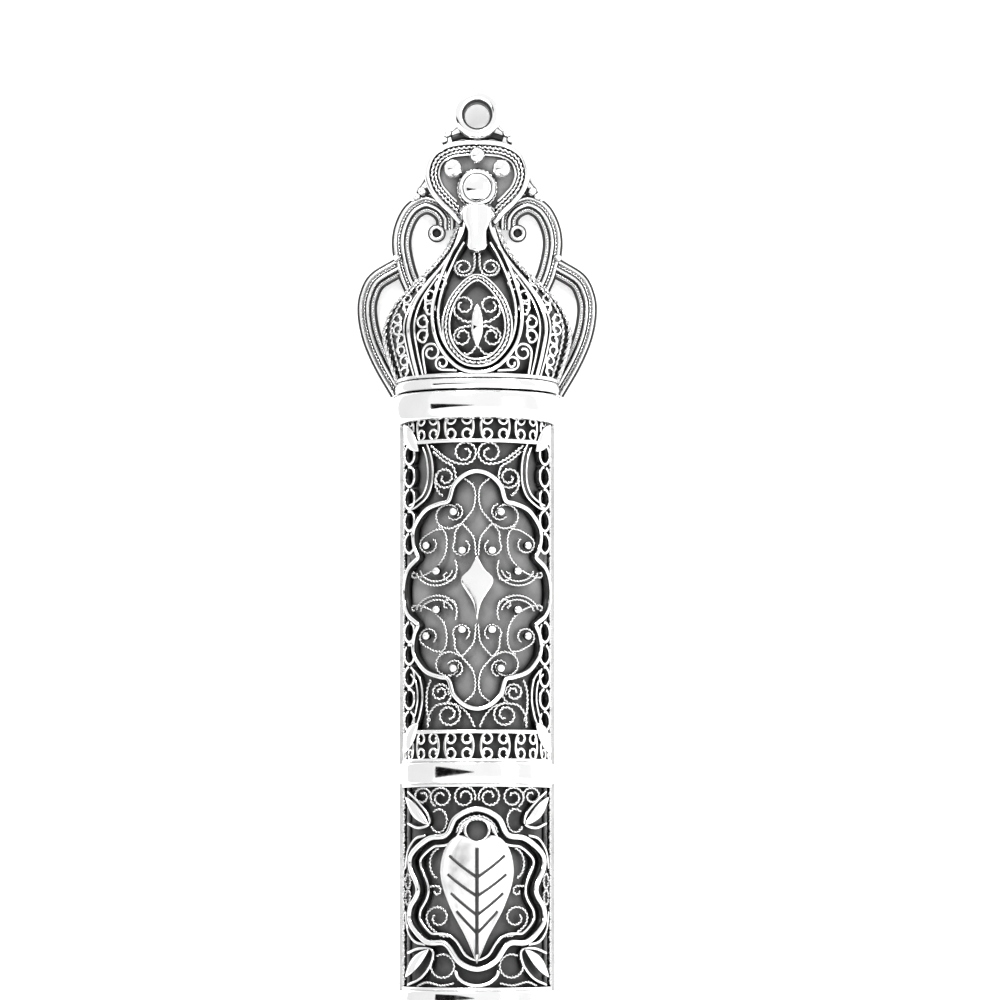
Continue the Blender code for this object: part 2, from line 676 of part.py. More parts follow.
def build_crown():
    end_mouldings("crown", CROWN, SLIP_GAP)
    standing_plate("crown_back", [back_outline(True)], 0, BACK_SHEET, POLISHED, CROWN)
    dome("crown", CROWN)
    dome_fittings("crown", CROWN)
    ring = [(0, 2.2), (2.2, 3.0), (3.9, 6.4), (3.4, 10.2), (1.8, 12.6), (0, 13.5)]
    right = [dome_place(p.x, p.y) for p in smooth_path([(x * MM, y * MM) for x, y in ring])]
    path = right + [Vector((-p.x, p.y, p.z)) for p in reversed(right[1:-1])]
    wire("crown_inner_teardrop", path, WIRE_RADIUS, FILIGREE, CROWN, closed=True)
    crown_top()
    lower_loops("crown", CROWN)
    curl = [(9.2, 13.5), (10.1, 16.0), (10.4, 19.2), (9.8, 21.8), (8.0, 23.7), (6.0, 23.6)]
    curl += [(5.0, 21.8), (5.7, 20.2)]
    side_loop("crown_upper_loop_left", -1, curl, CROWN)
    side_loop("crown_upper_loop_right", 1, curl, CROWN)
    eyelet("crown", CROWN, 32.45 * MM)


def build_foot():
    end_mouldings("foot", FOOT, JOINT_GAP)
    standing_plate("foot_back", [back_outline(False)], 0, BACK_SHEET, POLISHED, FOOT)
    dome("foot", FOOT)
    dome_fittings("foot", FOOT)
    lower_loops("foot", FOOT, inner_end=[(6.45, 15.6), (9.4, 16.1)])
    eyelet("foot", FOOT, DOME_HEIGHT + 3 * JOINT_GAP)
    floor = d_outline(NECK_RADIUS, FRONT_FACE_Y)
    level_ring("floor_plate", [floor], -TUBE_TOP, -TUBE_TOP + 1.0 * MM, OXIDISED, CASE)


def build_scroll():
    """The rolled parchment that stands loose in the tube."""
    steps = 14
    path = []
    for k in range(SCROLL_TURNS * steps + 1):
        angle = 2 * math.pi * k / steps
        radius = SCROLL_RADIUS - SCROLL_SHEET / 2 - SCROLL_PITCH * k / steps
        path.append((radius * math.cos(angle), radius * math.sin(angle)))
    rest = -TUBE_TOP + 1.1 * MM + SCROLL_LENGTH / 2
    open_sheet("parchment_scroll", path, SCROLL_LENGTH, SCROLL_SHEET, PARCHMENT, ROLL, (0, 0, rest))


build_tube()
build_crown()
build_foot()
build_scroll()
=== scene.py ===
"""Looks of the filigree mezuzah case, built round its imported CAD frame.

Twisted and plain silver wires, granules and leaves are laid on the tube's and the domes' surfaces. Lengths
here are in millimetres until a mesh is made. Heights count from the middle of the centre panel on the tube,
and from the base of the dome on the crown and the foot. The wall is the plane y = 0, and the case stands
towards -Y.
"""

import math

import bmesh
import bpy
import numpy as np
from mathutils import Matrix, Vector


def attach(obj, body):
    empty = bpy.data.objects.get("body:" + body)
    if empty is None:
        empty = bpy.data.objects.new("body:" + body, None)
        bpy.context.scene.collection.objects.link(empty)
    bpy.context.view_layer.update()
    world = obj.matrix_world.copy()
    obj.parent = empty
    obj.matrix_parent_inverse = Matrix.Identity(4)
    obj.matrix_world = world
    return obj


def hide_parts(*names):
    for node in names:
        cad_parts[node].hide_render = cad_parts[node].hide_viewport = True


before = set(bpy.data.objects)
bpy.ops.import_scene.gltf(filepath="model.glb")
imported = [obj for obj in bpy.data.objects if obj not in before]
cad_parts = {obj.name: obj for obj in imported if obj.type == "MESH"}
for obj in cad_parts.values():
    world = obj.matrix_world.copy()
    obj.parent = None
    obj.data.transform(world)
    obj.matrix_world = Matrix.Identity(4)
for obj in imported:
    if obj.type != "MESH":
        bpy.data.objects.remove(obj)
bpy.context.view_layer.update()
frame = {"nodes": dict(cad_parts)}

MM = 0.001

# Driving dimensions.
SIDE_DEPTH = 3.0  # straight side walls behind the half-round front
TUBE_RADIUS = 9.45  # middle of the panels' wires
LINER_RADIUS = 8.75
BACK_EDGE = 15.6  # from the tube's front round to the wires against the back plate
BAND_RADIUS = 10.1
COLLAR_RADIUS = 11.25
BEAD_RADIUS = 10.75
CENTRE_TOP = 13.2  # half the centre panel's height
BAND_HEIGHT = 2.9
PANEL_HALF = 22.6  # half a long panel's height
PANEL_MIDDLE = CENTRE_TOP + BAND_HEIGHT + PANEL_HALF
TUBE_TOP = PANEL_MIDDLE + PANEL_HALF
STRAIGHT = 18.75  # from a long panel's middle to its straight wires
COLLAR_BOTTOM = TUBE_TOP - 1.1
COLLAR_HEIGHT = 3.8
DOME_BASE = 65.55
BACK_FACE = -0.9  # where pieces that stand on the back plates begin
DOME_DEPTH = 1.2  # how far a dome stands out, in radii
DOME_SPREAD = 10  # distance round a dome for a radian, the same at every height
DOME_EDGE = 15.7  # from a dome's front round to its back plate
DOME_KNOTS = (  # (height, radius)
    (0, 10.4), (3.4, 11.6), (6.8, 12.25), (9.8, 11.1), (12.6, 8.7), (15.4, 5.9), (18.4, 3.6), (23.4, 1.75),
)
BOSS_HEIGHT = 25.95
CROWN_RING_HEIGHT = 35.65
FOOT_RING_HEIGHT = 26.9
COLLAR_BORE = 9.85  # round the tube
NECK_BORE = 8.55  # above the tube

PLAIN = 0.27  # wire radii
FINE = 0.2
TWIST = 0.25
ROPE = 0.4
GRANULE = 0.58
TWIST_PITCH = 4.6  # length of one turn of the twist, in wire radii


# Flat paths, as arrays of (across, up).


def dense(points, step=0.16, closed=False):
    """A smooth curve through points, sampled evenly."""
    knots = np.array(points, float)
    if closed:
        knots = np.vstack([knots[-1:], knots, knots[:2]])
    else:
        knots = np.vstack([2 * knots[0] - knots[1], knots, 2 * knots[-1] - knots[-2]])
    a, b, c, d = knots[:-3], knots[1:-2], knots[2:-1], knots[3:]
    spans = []
    for t in np.linspace(0, 1, 9)[:-1]:
        bend = (2 * a - 5 * b + 4 * c - d) * t**2 + (3 * b - a - 3 * c + d) * t**3
        spans.append(0.5 * (2 * b + (c - a) * t + bend))
    curve = np.stack(spans, axis=1).reshape(-1, knots.shape[1])
    curve = np.vstack([curve, knots[-2:-1]])
    lengths = np.concatenate([[0], np.cumsum(np.linalg.norm(np.diff(curve, axis=0), axis=1))])
    count = max(3, int(round(lengths[-1] / step)))
    even = np.linspace(0, lengths[-1], count + 1)
    out = np.stack([np.interp(even, lengths, curve[:, k]) for k in range(curve.shape[1])], axis=1)
    return out[:-1] if closed else out


def arc(centre, radius, start, end, steps=12):
    """Part of a circle, or of an oval when radius is (across, up). Angles are in degrees."""
    rx, ry = radius if isinstance(radius, tuple) else (radius, radius)
    angles = np.radians(np.linspace(start, end, steps + 1))
    return np.stack([centre[0] + rx * np.cos(angles), centre[1] + ry * np.sin(angles)], axis=1)


def spiral(centre, radius, start, turns, inner=0.3):
    """Winds in from radius to a share of it, slowly at first; negative turns go clockwise."""
    steps = max(6, int(abs(turns) * 14))
    share = np.linspace(0, 1, steps + 1)
    angles = np.radians(start + 360 * turns * share)
    radii = radius * (1 - (1 - inner) * share**1.6)
    return np.stack([centre[0] + radii * np.cos(angles), centre[1] + radii * np.sin(angles)], axis=1)


def tailed(tail, centre, radius, start, turns, inner=0.3):
    """A tail that runs into a spiral."""
    return np.vstack([np.array(tail, float).reshape(-1, 2), spiral(centre, radius, start, turns, inner)])


def c_scroll(x, y, width, height, side, curl=0.5, turns=1.0):
    """An upright C with its round back on the given side and its ends curled in."""
    ends = curl * height / 2
    reach = width - ends
    back = arc((x, y), (reach, height / 2), 90, -90 if side > 0 else 270, 10)
    top = spiral((x, y + height / 2 - ends), ends, 90, side * turns, 0.35)
    bottom = spiral((x, y - height / 2 + ends), ends, -90, -side * turns, 0.35)
    return np.vstack([top[:0:-1], back, bottom[1:]])


def mirror_x(path):
    return np.array(path) * (-1, 1)


def mirrored(half):
    """A closed outline from its right half, whose ends are on the centre line."""
    half = np.array(half, float)
    return np.vstack([half, mirror_x(half)[::-1][1:-1]])


def offset(path, distance, closed=False):
    """A path beside another one, distance to its left."""
    path = np.array(path, float)
    if closed:
        steps = np.roll(path, -1, axis=0) - np.roll(path, 1, axis=0)
    else:
        steps = np.gradient(path, axis=0)
    steps /= np.linalg.norm(steps, axis=1)[:, None] + 1e-12
    return path + distance * np.stack([-steps[:, 1], steps[:, 0]], axis=1)


# Surfaces that paths are laid on.


class Surface:
    """A surface with places (across, up) on it, which base(across, up) turns into points."""

    def at(self, path, lift):
        """Points and outward normals at places on the surface, lifted off it."""
        across, up = np.asarray(path, float).T
        small = 0.01
        points = self.base(across, up)
        along = self.base(across + small, up) - self.base(across - small, up)
        rise = self.base(across, up + small) - self.base(across, up - small)
        normals = np.cross(along, rise)
        normals /= np.linalg.norm(normals, axis=1)[:, None] + 1e-12
        return points + normals * np.asarray(lift).reshape(-1, 1), normals

    def seen(self, path):
        """A path drawn as it looks from the front."""
        return np.array(path, float)


class Tube(Surface):
    def __init__(self, middle, radius=TUBE_RADIUS):
        self.middle, self.radius = middle, radius

    def base(self, across, up):
        angle = np.clip(across / self.radius, -math.pi / 2, math.pi / 2)
        beyond = np.abs(across - angle * self.radius)
        x = self.radius * np.sin(angle)
        y = -SIDE_DEPTH - self.radius * np.cos(angle) + beyond
        return np.stack([x, y, self.middle + up], axis=1)

    def seen(self, path):
        path = np.array(path, float)
        path[:, 0] = self.radius * np.arcsin(np.clip(path[:, 0] / self.radius, -1, 1))
        return path


def dome_radius(height):
    knots = dense(DOME_KNOTS, 0.2)
    return np.interp(height, knots[:, 0], knots[:, 1])


class Dome(Surface):
    """An onion dome: way is 1 for the crown's, and -1 for the foot's, which is turned over."""

    def __init__(self, way, inset=0.0):
        self.way, self.inset = way, inset

    def base(self, across, up):
        radius = dome_radius(up) - self.inset
        angle = across / DOME_SPREAD
        x = radius * np.sin(angle)
        y = BACK_FACE - DOME_DEPTH * radius * np.cos(angle)
        return np.stack([self.way * x, y, self.way * (DOME_BASE + up)], axis=1)

    def seen(self, path):
        path = np.array(path, float)
        path[:, 0] = DOME_SPREAD * np.arcsin(np.clip(path[:, 0] / dome_radius(path[:, 1]), -1, 1))
        return path


class Flat(Surface):
    """The wall plane, or one parallel to it, in the crown's or the foot's heights."""

    def __init__(self, way, depth=0.0):
        self.way, self.depth = way, depth

    def base(self, across, up):
        flat = np.full_like(across, -self.depth)
        return np.stack([self.way * across, flat, self.way * (DOME_BASE + up)], axis=1)


# Building meshes.


def add_object(name, data):
    made = bpy.data.objects.new(name, data)
    bpy.context.scene.collection.objects.link(made)
    return made


class Work:
    """Gathers the wires, granules and leaves of one soldered piece into one mesh."""

    def __init__(self, surface):
        self.surface = surface
        self.verts, self.faces, self.slots, self.polish, self.count = [], [], [], [], 0
        self.slot = 0

    def add(self, verts, quads, polish=None):
        """polish, 0 to 1 at each point, is how bright the colour is kept there; low values are painted shade.
        """
        self.verts.append(np.asarray(verts, float).reshape(-1, 3))
        self.faces.append(np.asarray(quads, int) + self.count)
        self.slots.append(np.full(len(quads), self.slot))
        painted_shade = np.ones(len(self.verts[-1])) if polish is None else np.asarray(polish, float).ravel()
        self.polish.append(painted_shade)
        self.count += len(self.verts[-1])

    def sweep(self, path, section, lift, closed, turn_per_mm=0.0, step=0.22):
        """Sweeps a section of radii round a path. The section turns as it goes, for twisted wire.

        lift is the height of the wire's middle off the surface, or a function of the path that gives it.
        """
        path = dense(path, step, closed)
        centres, normals = self.surface.at(path, lift(path) if callable(lift) else lift)
        if closed:
            tangents = np.roll(centres, -1, axis=0) - np.roll(centres, 1, axis=0)
        else:
            tangents = np.gradient(centres, axis=0)
        tangents /= np.linalg.norm(tangents, axis=1)[:, None] + 1e-12
        across = np.cross(tangents, normals)
        across /= np.linalg.norm(across, axis=1)[:, None] + 1e-12
        out = np.cross(across, tangents)
        count, sides = len(centres), len(section)
        total = turn_per_mm * count * step
        if closed:
            total = math.pi * round(total / math.pi)
        phase = np.linspace(0, total, count, endpoint=not closed)
        around = np.linspace(0, 2 * math.pi, sides, endpoint=False)
        angle = around[None, :] + phase[:, None]
        rings = centres[:, None, :] + section[None, :, None] * (
            np.cos(angle)[..., None] * out[:, None, :] + np.sin(angle)[..., None] * across[:, None, :]
        )
        # Painted shade: the colour darkens on a wire's sides, between its outward face and its back, and in
        # the valleys of a twist.
        ridge = section / section.max() if turn_per_mm else np.ones(sides)
        painted_shade = np.clip(np.abs(np.cos(angle)) / 0.8, 0, 1) * np.clip(1.2 * ridge - 0.2, 0, 1)[None, :]
        self.skin(rings, closed, painted_shade)

    def skin(self, rings, closed, polish=None, drawn=True):
        """Joins rings of points into a tube. An open one is capped, with its ends drawn together if drawn."""
        count, sides = rings.shape[:2]
        if drawn and not closed:
            shrunk = 0.35
            first, last = (ring.mean(axis=0) * (1 - shrunk) + ring * shrunk for ring in (rings[0], rings[-1]))
            rings = np.concatenate([first[None], rings, last[None]])
            polish = None if polish is None else np.concatenate([polish[:1], polish, polish[-1:]])
            count += 2
        index = np.arange(count * sides).reshape(count, sides)
        low, high = (index, np.roll(index, -1, axis=0)) if closed else (index[:-1], index[1:])
        corners = [low, np.roll(low, -1, axis=1), np.roll(high, -1, axis=1), high]
        quads = np.stack(corners, axis=-1).reshape(-1, 4)
        if not closed:
            half = np.arange(sides // 2 - 1)
            corners = (half, half + 1, sides - 2 - half, sides - 1 - half)
            for row, order in ((index[0], slice(None, None, -1)), (index[-1], slice(None))):
                caps = np.stack([row[corner] for corner in corners], axis=1)
                quads = np.vstack([quads, caps[:, order]])
        self.add(rings, quads, polish)

    def wire(self, path, radius=PLAIN, lift=0.0, closed=False):
        self.sweep(path, np.full(8, radius), lift, closed)

    def ribbon(self, path, width, height, lift=0.0, closed=False):
        """Half-round wire lying on the surface."""
        angles = np.linspace(0, 2 * math.pi, 10, endpoint=False)
        radii = 1 / np.sqrt((np.cos(angles) / height) ** 2 + (np.sin(angles) / width) ** 2)
        self.sweep(path, radii, lift, closed)

    def deep(self, path, radius=PLAIN, lift=0.0, depth=0.7, closed=False):
        """Wire on the edge of a near-black strip that stands on the liner: painted shadow in the gap under
        the wire.
        """
        self.wire(path, radius, lift, closed)
        self.slot = 1
        self.ribbon(path, radius * 0.62, depth / 2, lift - depth / 2, closed)
        self.slot = 0

    def twist(self, path, radius=TWIST, lift=0.0, closed=False):
        """Two strands twisted together and rolled a little flat."""
        angles = np.linspace(0, 2 * math.pi, 8, endpoint=False)
        section = radius * (0.76 + 0.24 * np.cos(2 * angles))
        turn = 2 * math.pi / (TWIST_PITCH * radius)
        self.sweep(path, section, lift, closed, turn, step=0.13 * radius / TWIST)

    def granule(self, x, y, radius=GRANULE, lift=0.0, flat=1.0):
        centre, normal = self.surface.at([(x, y)], lift)
        self.ball(centre[0], radius, normal[0], flat)

    def ball(self, centre, radius, normal=(0, -1, 0), flat=1.0, sides=14):
        """A ball, or with flat below 1 a cushion that faces along normal."""
        out = np.array(normal, float)
        side = np.cross(out, (0, 0, 1.0))
        side /= np.linalg.norm(side) + 1e-12
        up = np.cross(side, out)
        rows = np.linspace(math.pi, 0, sides // 2 + 2)[:, None]
        turn = np.linspace(0, 2 * math.pi, sides, endpoint=False)[None, :]
        height, round_ = np.cos(rows) + 0 * turn, np.maximum(np.sin(rows), 0.02)
        rings = np.asarray(centre) + radius * (
            (height * flat)[..., None] * out
            + (round_ * np.cos(turn))[..., None] * side
            + (round_ * np.sin(turn))[..., None] * up
        )
        # Painted shade: the colour darkens from the ball's front towards its rim and back.
        self.skin(rings, False, np.clip((height - 0.15) / 0.6, 0, 1))

    def sheet(self, heights, halves, columns, under, outside=np.zeros_like, polish=None):
        """A bent sheet: halves are its half-widths at heights, under is the lift of its back, and outside
        gives the lift of its front from the share of the way across, -1 to 1. polish is a function of
        (across, up) that gives the painted shade, low where darker, or None where it is all bright."""
        share = np.linspace(-1, 1, columns)
        rings, painted_shade = [], []
        for height, half in zip(heights, halves):
            places = np.stack([share * half, np.full(columns, height)], axis=1)
            front, back = self.surface.at(places, outside(share))[0], self.surface.at(places, under)[0]
            rings.append(np.vstack([front, back[::-1]]))
            shade = polish(*places.T) if polish else np.ones(columns)
            painted_shade.append(np.concatenate([shade, shade[::-1]]))
        self.skin(np.stack(rings), False, np.array(painted_shade), drawn=False)

    def piece(self, node, word, body, finish, stands_for=None):
        """Puts the mesh in the scene, for a CAD node. finish is its material, or one for each slot."""
        name = f"{node}_{word}"
        verts = np.vstack(self.verts) * MM
        quads = np.vstack(self.faces)
        mesh = bpy.data.meshes.new(name)
        mesh.vertices.add(len(verts))
        mesh.vertices.foreach_set("co", verts.ravel())
        mesh.loops.add(quads.size)
        mesh.loops.foreach_set("vertex_index", quads.ravel())
        mesh.polygons.add(len(quads))
        mesh.polygons.foreach_set("loop_start", np.arange(0, quads.size, 4))
        mesh.polygons.foreach_set("loop_total", np.full(len(quads), 4))
        mesh.polygons.foreach_set("material_index", np.concatenate(self.slots))
        mesh.update(calc_edges=True)
        painted_shade = mesh.attributes.new("polish", "FLOAT", "POINT")
        painted_shade.data.foreach_set("value", np.concatenate(self.polish))
        mesh.shade_smooth()
        shell = bmesh.new()
        shell.from_mesh(mesh)
        bmesh.ops.recalc_face_normals(shell, faces=shell.faces)
        shell.to_mesh(mesh)
        shell.free()
        made = add_object(name, mesh)
        for one in finish if isinstance(finish, tuple) else (finish,):
            mesh.materials.append(one)
        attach(made, body)
        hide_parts(stands_for or node)
        return made


def d_section(radius, back):
    """The tube's D section: a half-round front, straight sides and a flat back."""
    angles = np.linspace(math.pi, 2 * math.pi, 49)
    front = np.stack([radius * np.cos(angles), -SIDE_DEPTH + radius * np.sin(angles)], axis=1)
    return np.vstack([[(-radius, back)], front, [(radius, back)]])


def level(section, height):
    return np.column_stack([section, np.full(len(section), height)])


def d_ring(node, way, outer, inner, body):
    """A moulding of D section round the tube: outer and inner are (height, radius) up its two sides."""
    rings = [level(d_section(radius, 0), way * height) for height, radius in outer]
    rings += [level(d_section(radius, -0.8), way * height) for height, radius in reversed(inner)]
    work = Work(None)
    work.skin(np.array(rings), True)
    ring = work.piece(node, "skin", body, POLISHED)
    ring.data.set_sharp_from_angle(angle=math.radians(50))


def swell(low, high, radius, bulge, edge, steps=14):
    """The outside of a moulding with a convex face and rounded edges."""
    out = []
    for k in range(steps + 1):
        t = -1 + 2 * k / steps
        rounded = max(0.0, 1 - (1 - abs(t)) / 0.22)
        drop = bulge * t * t + edge * (1 - math.sqrt(1 - rounded**2))
        out.append(((low + high) / 2 + t * (high - low) / 2, radius - drop))
    return out


def pointed_leaf(work, start, end, width, ridge, lift):
    """A pointed leaf with a raised midrib, laid on the work's surface between two places."""
    start, end = np.array(start, float), np.array(end, float)
    along = end - start
    side = np.array([-along[1], along[0]]) / np.linalg.norm(along)
    t = np.linspace(0.0, 1.0, 15)
    half = width / 2 * np.sin(math.pi * t) ** 0.85 + 0.02

    def strip(share, heights):
        places = start + t[:, None] * along + share * half[:, None] * side
        return work.surface.at(places, heights)[0]

    strips = []
    for share in (-1.0, -0.5, 0.0, 0.5, 1.0):
        strips.append(strip(share, lift + ridge * (1 - abs(share)) * half / (width / 2) + 0.02))
    for share in (1.0, -1.0):
        strips.append(strip(share, lift - 0.25))
    work.skin(np.stack(strips, axis=1), False)


# Materials.


def nodes_of(name):
    made = bpy.data.materials.new(name)
    made.use_nodes = True
    return made, made.node_tree.nodes, made.node_tree.links


def noise(nodes, links, scale, detail):
    """Noise in object space, scale per metre."""
    place = nodes.new("ShaderNodeTexCoord")
    texture = nodes.new("ShaderNodeTexNoise")
    texture.inputs["Scale"].default_value = scale
    texture.inputs["Detail"].default_value = detail
    links.new(place.outputs["Object"], texture.inputs["Vector"])
    return texture.outputs["Fac"]


def ramp(nodes, links, source, stops):
    """Maps a value through a ramp of (position, grey or colour)."""
    made = nodes.new("ShaderNodeValToRGB")
    elements = made.color_ramp.elements
    while len(elements) < len(stops):
        elements.new(0.5)
    for element, (position, value) in zip(elements, stops):
        element.position = position
        element.color = (*value, 1) if isinstance(value, tuple) else (value, value, value, 1)
    links.new(source, made.inputs["Fac"])
    return made.outputs["Color"]


def multiply(nodes, links, first, second):
    made = nodes.new("ShaderNodeMix")
    made.data_type = "RGBA"
    made.blend_type = "MULTIPLY"
    made.inputs["Factor"].default_value = 1
    links.new(first, made.inputs["A"])
    links.new(second, made.inputs["B"])
    return made.outputs["Result"]


def metal(name, colour, roughness, grain, recess, recess_dark, bump,
          metallic=1.0, open_from=(0.25, 0.75), painted_shade=False):
    """Silver with uneven tint and gloss, fine grain, and its colour darkened in the recesses as painted
    shade.

    colour and roughness are (low, high) pairs that noise runs between. recess is the depth, in millimetres,
    of the corners whose colour is darkened, a painted shade that also stands for the oxide there; recess_dark
    is how dark it gets there, and open_from is how open a place is where the darkening starts to thin and
    where it ends. rubbed metal is also darkened wherever its mesh's polish attribute is low: painted shade on
    the sides of wires, in the valleys of twists and on the liner.
    """
    made, nodes, links = nodes_of(name)
    shader = nodes["Principled BSDF"]
    shader.inputs["Metallic"].default_value = metallic
    patches = noise(nodes, links, 260, 5)
    tint = ramp(nodes, links, patches, [(0.35, colour[0]), (0.65, colour[1])])
    # Ambient occlusion darkens the colour in hollows and corners: painted shade, also standing for the oxide
    # there.
    hollow = nodes.new("ShaderNodeAmbientOcclusion")
    hollow.samples = 6
    hollow.inputs["Distance"].default_value = recess * MM
    shade = ramp(nodes, links, hollow.outputs["AO"], [(open_from[0], recess_dark), (open_from[1], 1.0)])
    # The mesh's polish attribute darkens the colour further: painted shade on wires' sides and in hollows.
    if painted_shade:
        polish = nodes.new("ShaderNodeAttribute")
        polish.attribute_name = "polish"
        painted_shade_ramp = ramp(nodes, links, polish.outputs["Fac"], [(0.15, 0.02), (0.75, 1.0)])
        shade = multiply(nodes, links, shade, painted_shade_ramp)
    links.new(multiply(nodes, links, tint, shade), shader.inputs["Base Color"])
    fine = noise(nodes, links, grain, 3)
    gloss = ramp(nodes, links, fine, [(0.3, roughness[0]), (0.7, roughness[1])])
    links.new(gloss, shader.inputs["Roughness"])
    relief = nodes.new("ShaderNodeBump")
    relief.inputs["Strength"].default_value = bump
    relief.inputs["Distance"].default_value = 0.02 * MM
    links.new(fine, relief.inputs["Height"])
    links.new(relief.outputs["Normal"], shader.inputs["Normal"])
    return made


def parchment():
    made, nodes, links = nodes_of("parchment_skin")
    shader = nodes["Principled BSDF"]
    shader.inputs["Roughness"].default_value = 0.75
    cloud = noise(nodes, links, 180, 6)
    tint = ramp(nodes, links, cloud, [(0.35, (0.62, 0.5, 0.33)), (0.65, (0.8, 0.7, 0.52))])
    links.new(tint, shader.inputs["Base Color"])
    relief = nodes.new("ShaderNodeBump")
    relief.inputs["Strength"].default_value = 0.3
    relief.inputs["Distance"].default_value = 0.05 * MM
    links.new(noise(nodes, links, 2500, 4), relief.inputs["Height"])
    links.new(relief.outputs["Normal"], shader.inputs["Normal"])
    return made


# Every metal below darkens its colour in recesses, and the rubbed ones also by their mesh's polish attribute:
# painted shade.
POLISHED = metal(
    "polished_silver_skin", (0.93, 0.98), (0.05, 0.12), grain=900, recess=0.7, recess_dark=0.1, bump=0.08,
    open_from=(0.35, 0.7),
)
SATIN = metal(
    "satin_silver_skin", (0.93, 0.98), (0.28, 0.4), grain=900, recess=0.7, recess_dark=0.1, bump=0.1,
    open_from=(0.35, 0.7),
)
BRIGHT = metal(
    "bright_wire_skin", (0.92, 0.98), (0.08, 0.16), grain=1800, recess=0.9, recess_dark=0.05, bump=0.1,
    open_from=(0.3, 0.6), painted_shade=True,
)
WIRE = metal(
    "wire_silver_skin", (0.9, 0.97), (0.12, 0.24), grain=2600, recess=1.0, recess_dark=0.01, bump=0.25,
    open_from=(0.36, 0.66), painted_shade=True,
)
# Near-black: painted shadow in the gaps under and between the wires, in the eyelets' holes and behind the
# crown's shoulders, and the dark of the leaf's veins.
OXIDE_AND_SHADE = metal(
    "oxide_and_shade_skin", (0.012, 0.03), (0.3, 0.5), grain=1800, recess=1.0, recess_dark=0.1, bump=0.2, metallic=0.3,
)
# The liner's grey is its own oxidised tone; its deep, wide recess darkening is painted shadow beside the
# wires.
LINER = metal(
    "oxidised_liner_skin", (0.16, 0.22), (0.6, 0.72), grain=1500, recess=1.7, recess_dark=0.004, bump=0.12,
    metallic=0.3, open_from=(0.35, 0.8), painted_shade=True,
)
# A darker grey for the back plates' front faces: painted shade.
PLATE_SHADE = metal(
    "shaded_plate_skin", (0.22, 0.45), (0.3, 0.5), grain=1200, recess=1.4, recess_dark=0.05, bump=0.2,
    metallic=0.5, open_from=(0.25, 0.85),
)
PLATE = metal(
    "back_plate_skin", (0.6, 0.75), (0.22, 0.38), grain=1200, recess=0.6, recess_dark=0.3, bump=0.2,
)
SKIN = parchment()


# The long panels.

CARTOUCHE_MIDDLE = -0.55  # the cartouche sits a little low
CARTOUCHE = (
    (0, 15.3), (1.6, 14.8), (2.9, 13.5), (3.4, 11.9), (3.75, 11.35), (4.6, 11.2), (6.4, 10.4), (7.7, 8.6),
    (8.0, 7.2), (7.8, 5.6), (7.35, 4.5), (7.5, 4.15), (8.6, 3.0), (9.1, 1.2),
)


def quarters(path, middle=0.0):
    """A path and its mirror images about a panel's centre line and about the height middle."""
    path = np.array(path, float)
    return [path * way + (0, middle) for way in ((1, 1), (-1, 1), (1, -1), (-1, -1))]


def both_sides(draw, paths, seen=np.array, **settings):
    """Draws paths and their mirror images, each mapped by seen."""
    for path in paths:
        smooth = dense(path, 0.3)
        draw(seen(smooth), **settings)
        draw(seen(mirror_x(smooth)), **settings)


def cartouche_outline():
    right = list(CARTOUCHE) + [(x, -y) for x, y in reversed(CARTOUCHE)]
    return mirrored(right) + (0, CARTOUCHE_MIDDLE)


def end_rows(work, up, way):
    """The row of curled scrolls between a long panel's end and its straight wire."""
    for k in range(6):
        x = 1.2 + 2.35 * k
        for side in (1, -1):
            back = side * (1 if k % 2 else -1)
            work.wire(c_scroll(side * x, up + way * 1.85, 1.5, 3.4, back, 0.46, 0.85), radius=FINE)
    work.deep(work.surface.seen([(-7.6, up), (0, up), (7.6, up)]), radius=0.3, lift=0.1)


def border_columns(work, half_height, clear):
    """Twisted scrolls up a panel's sides, and ovals up its front edges clear of the cartouche."""
    pitch = 2.75
    rows = int(2 * half_height / pitch)
    for k in range(rows):
        y = -half_height + (k + 0.5) * 2 * half_height / rows
        for side in (1, -1):
            way = side * (1 if k % 2 else -1)
            if abs(y - CARTOUCHE_MIDDLE) > clear:
                oval = arc((side * 8.6, y), (0.62, pitch / 2 - 0.1), 100, 100 + way * 330, 16)
                work.deep(work.surface.seen(dense(oval, 0.1)), radius=FINE, lift=0.1, depth=0.8)
            work.twist(c_scroll(side * 14.3, y, 1.0, pitch - 0.15, -way), radius=TWIST * 0.9)


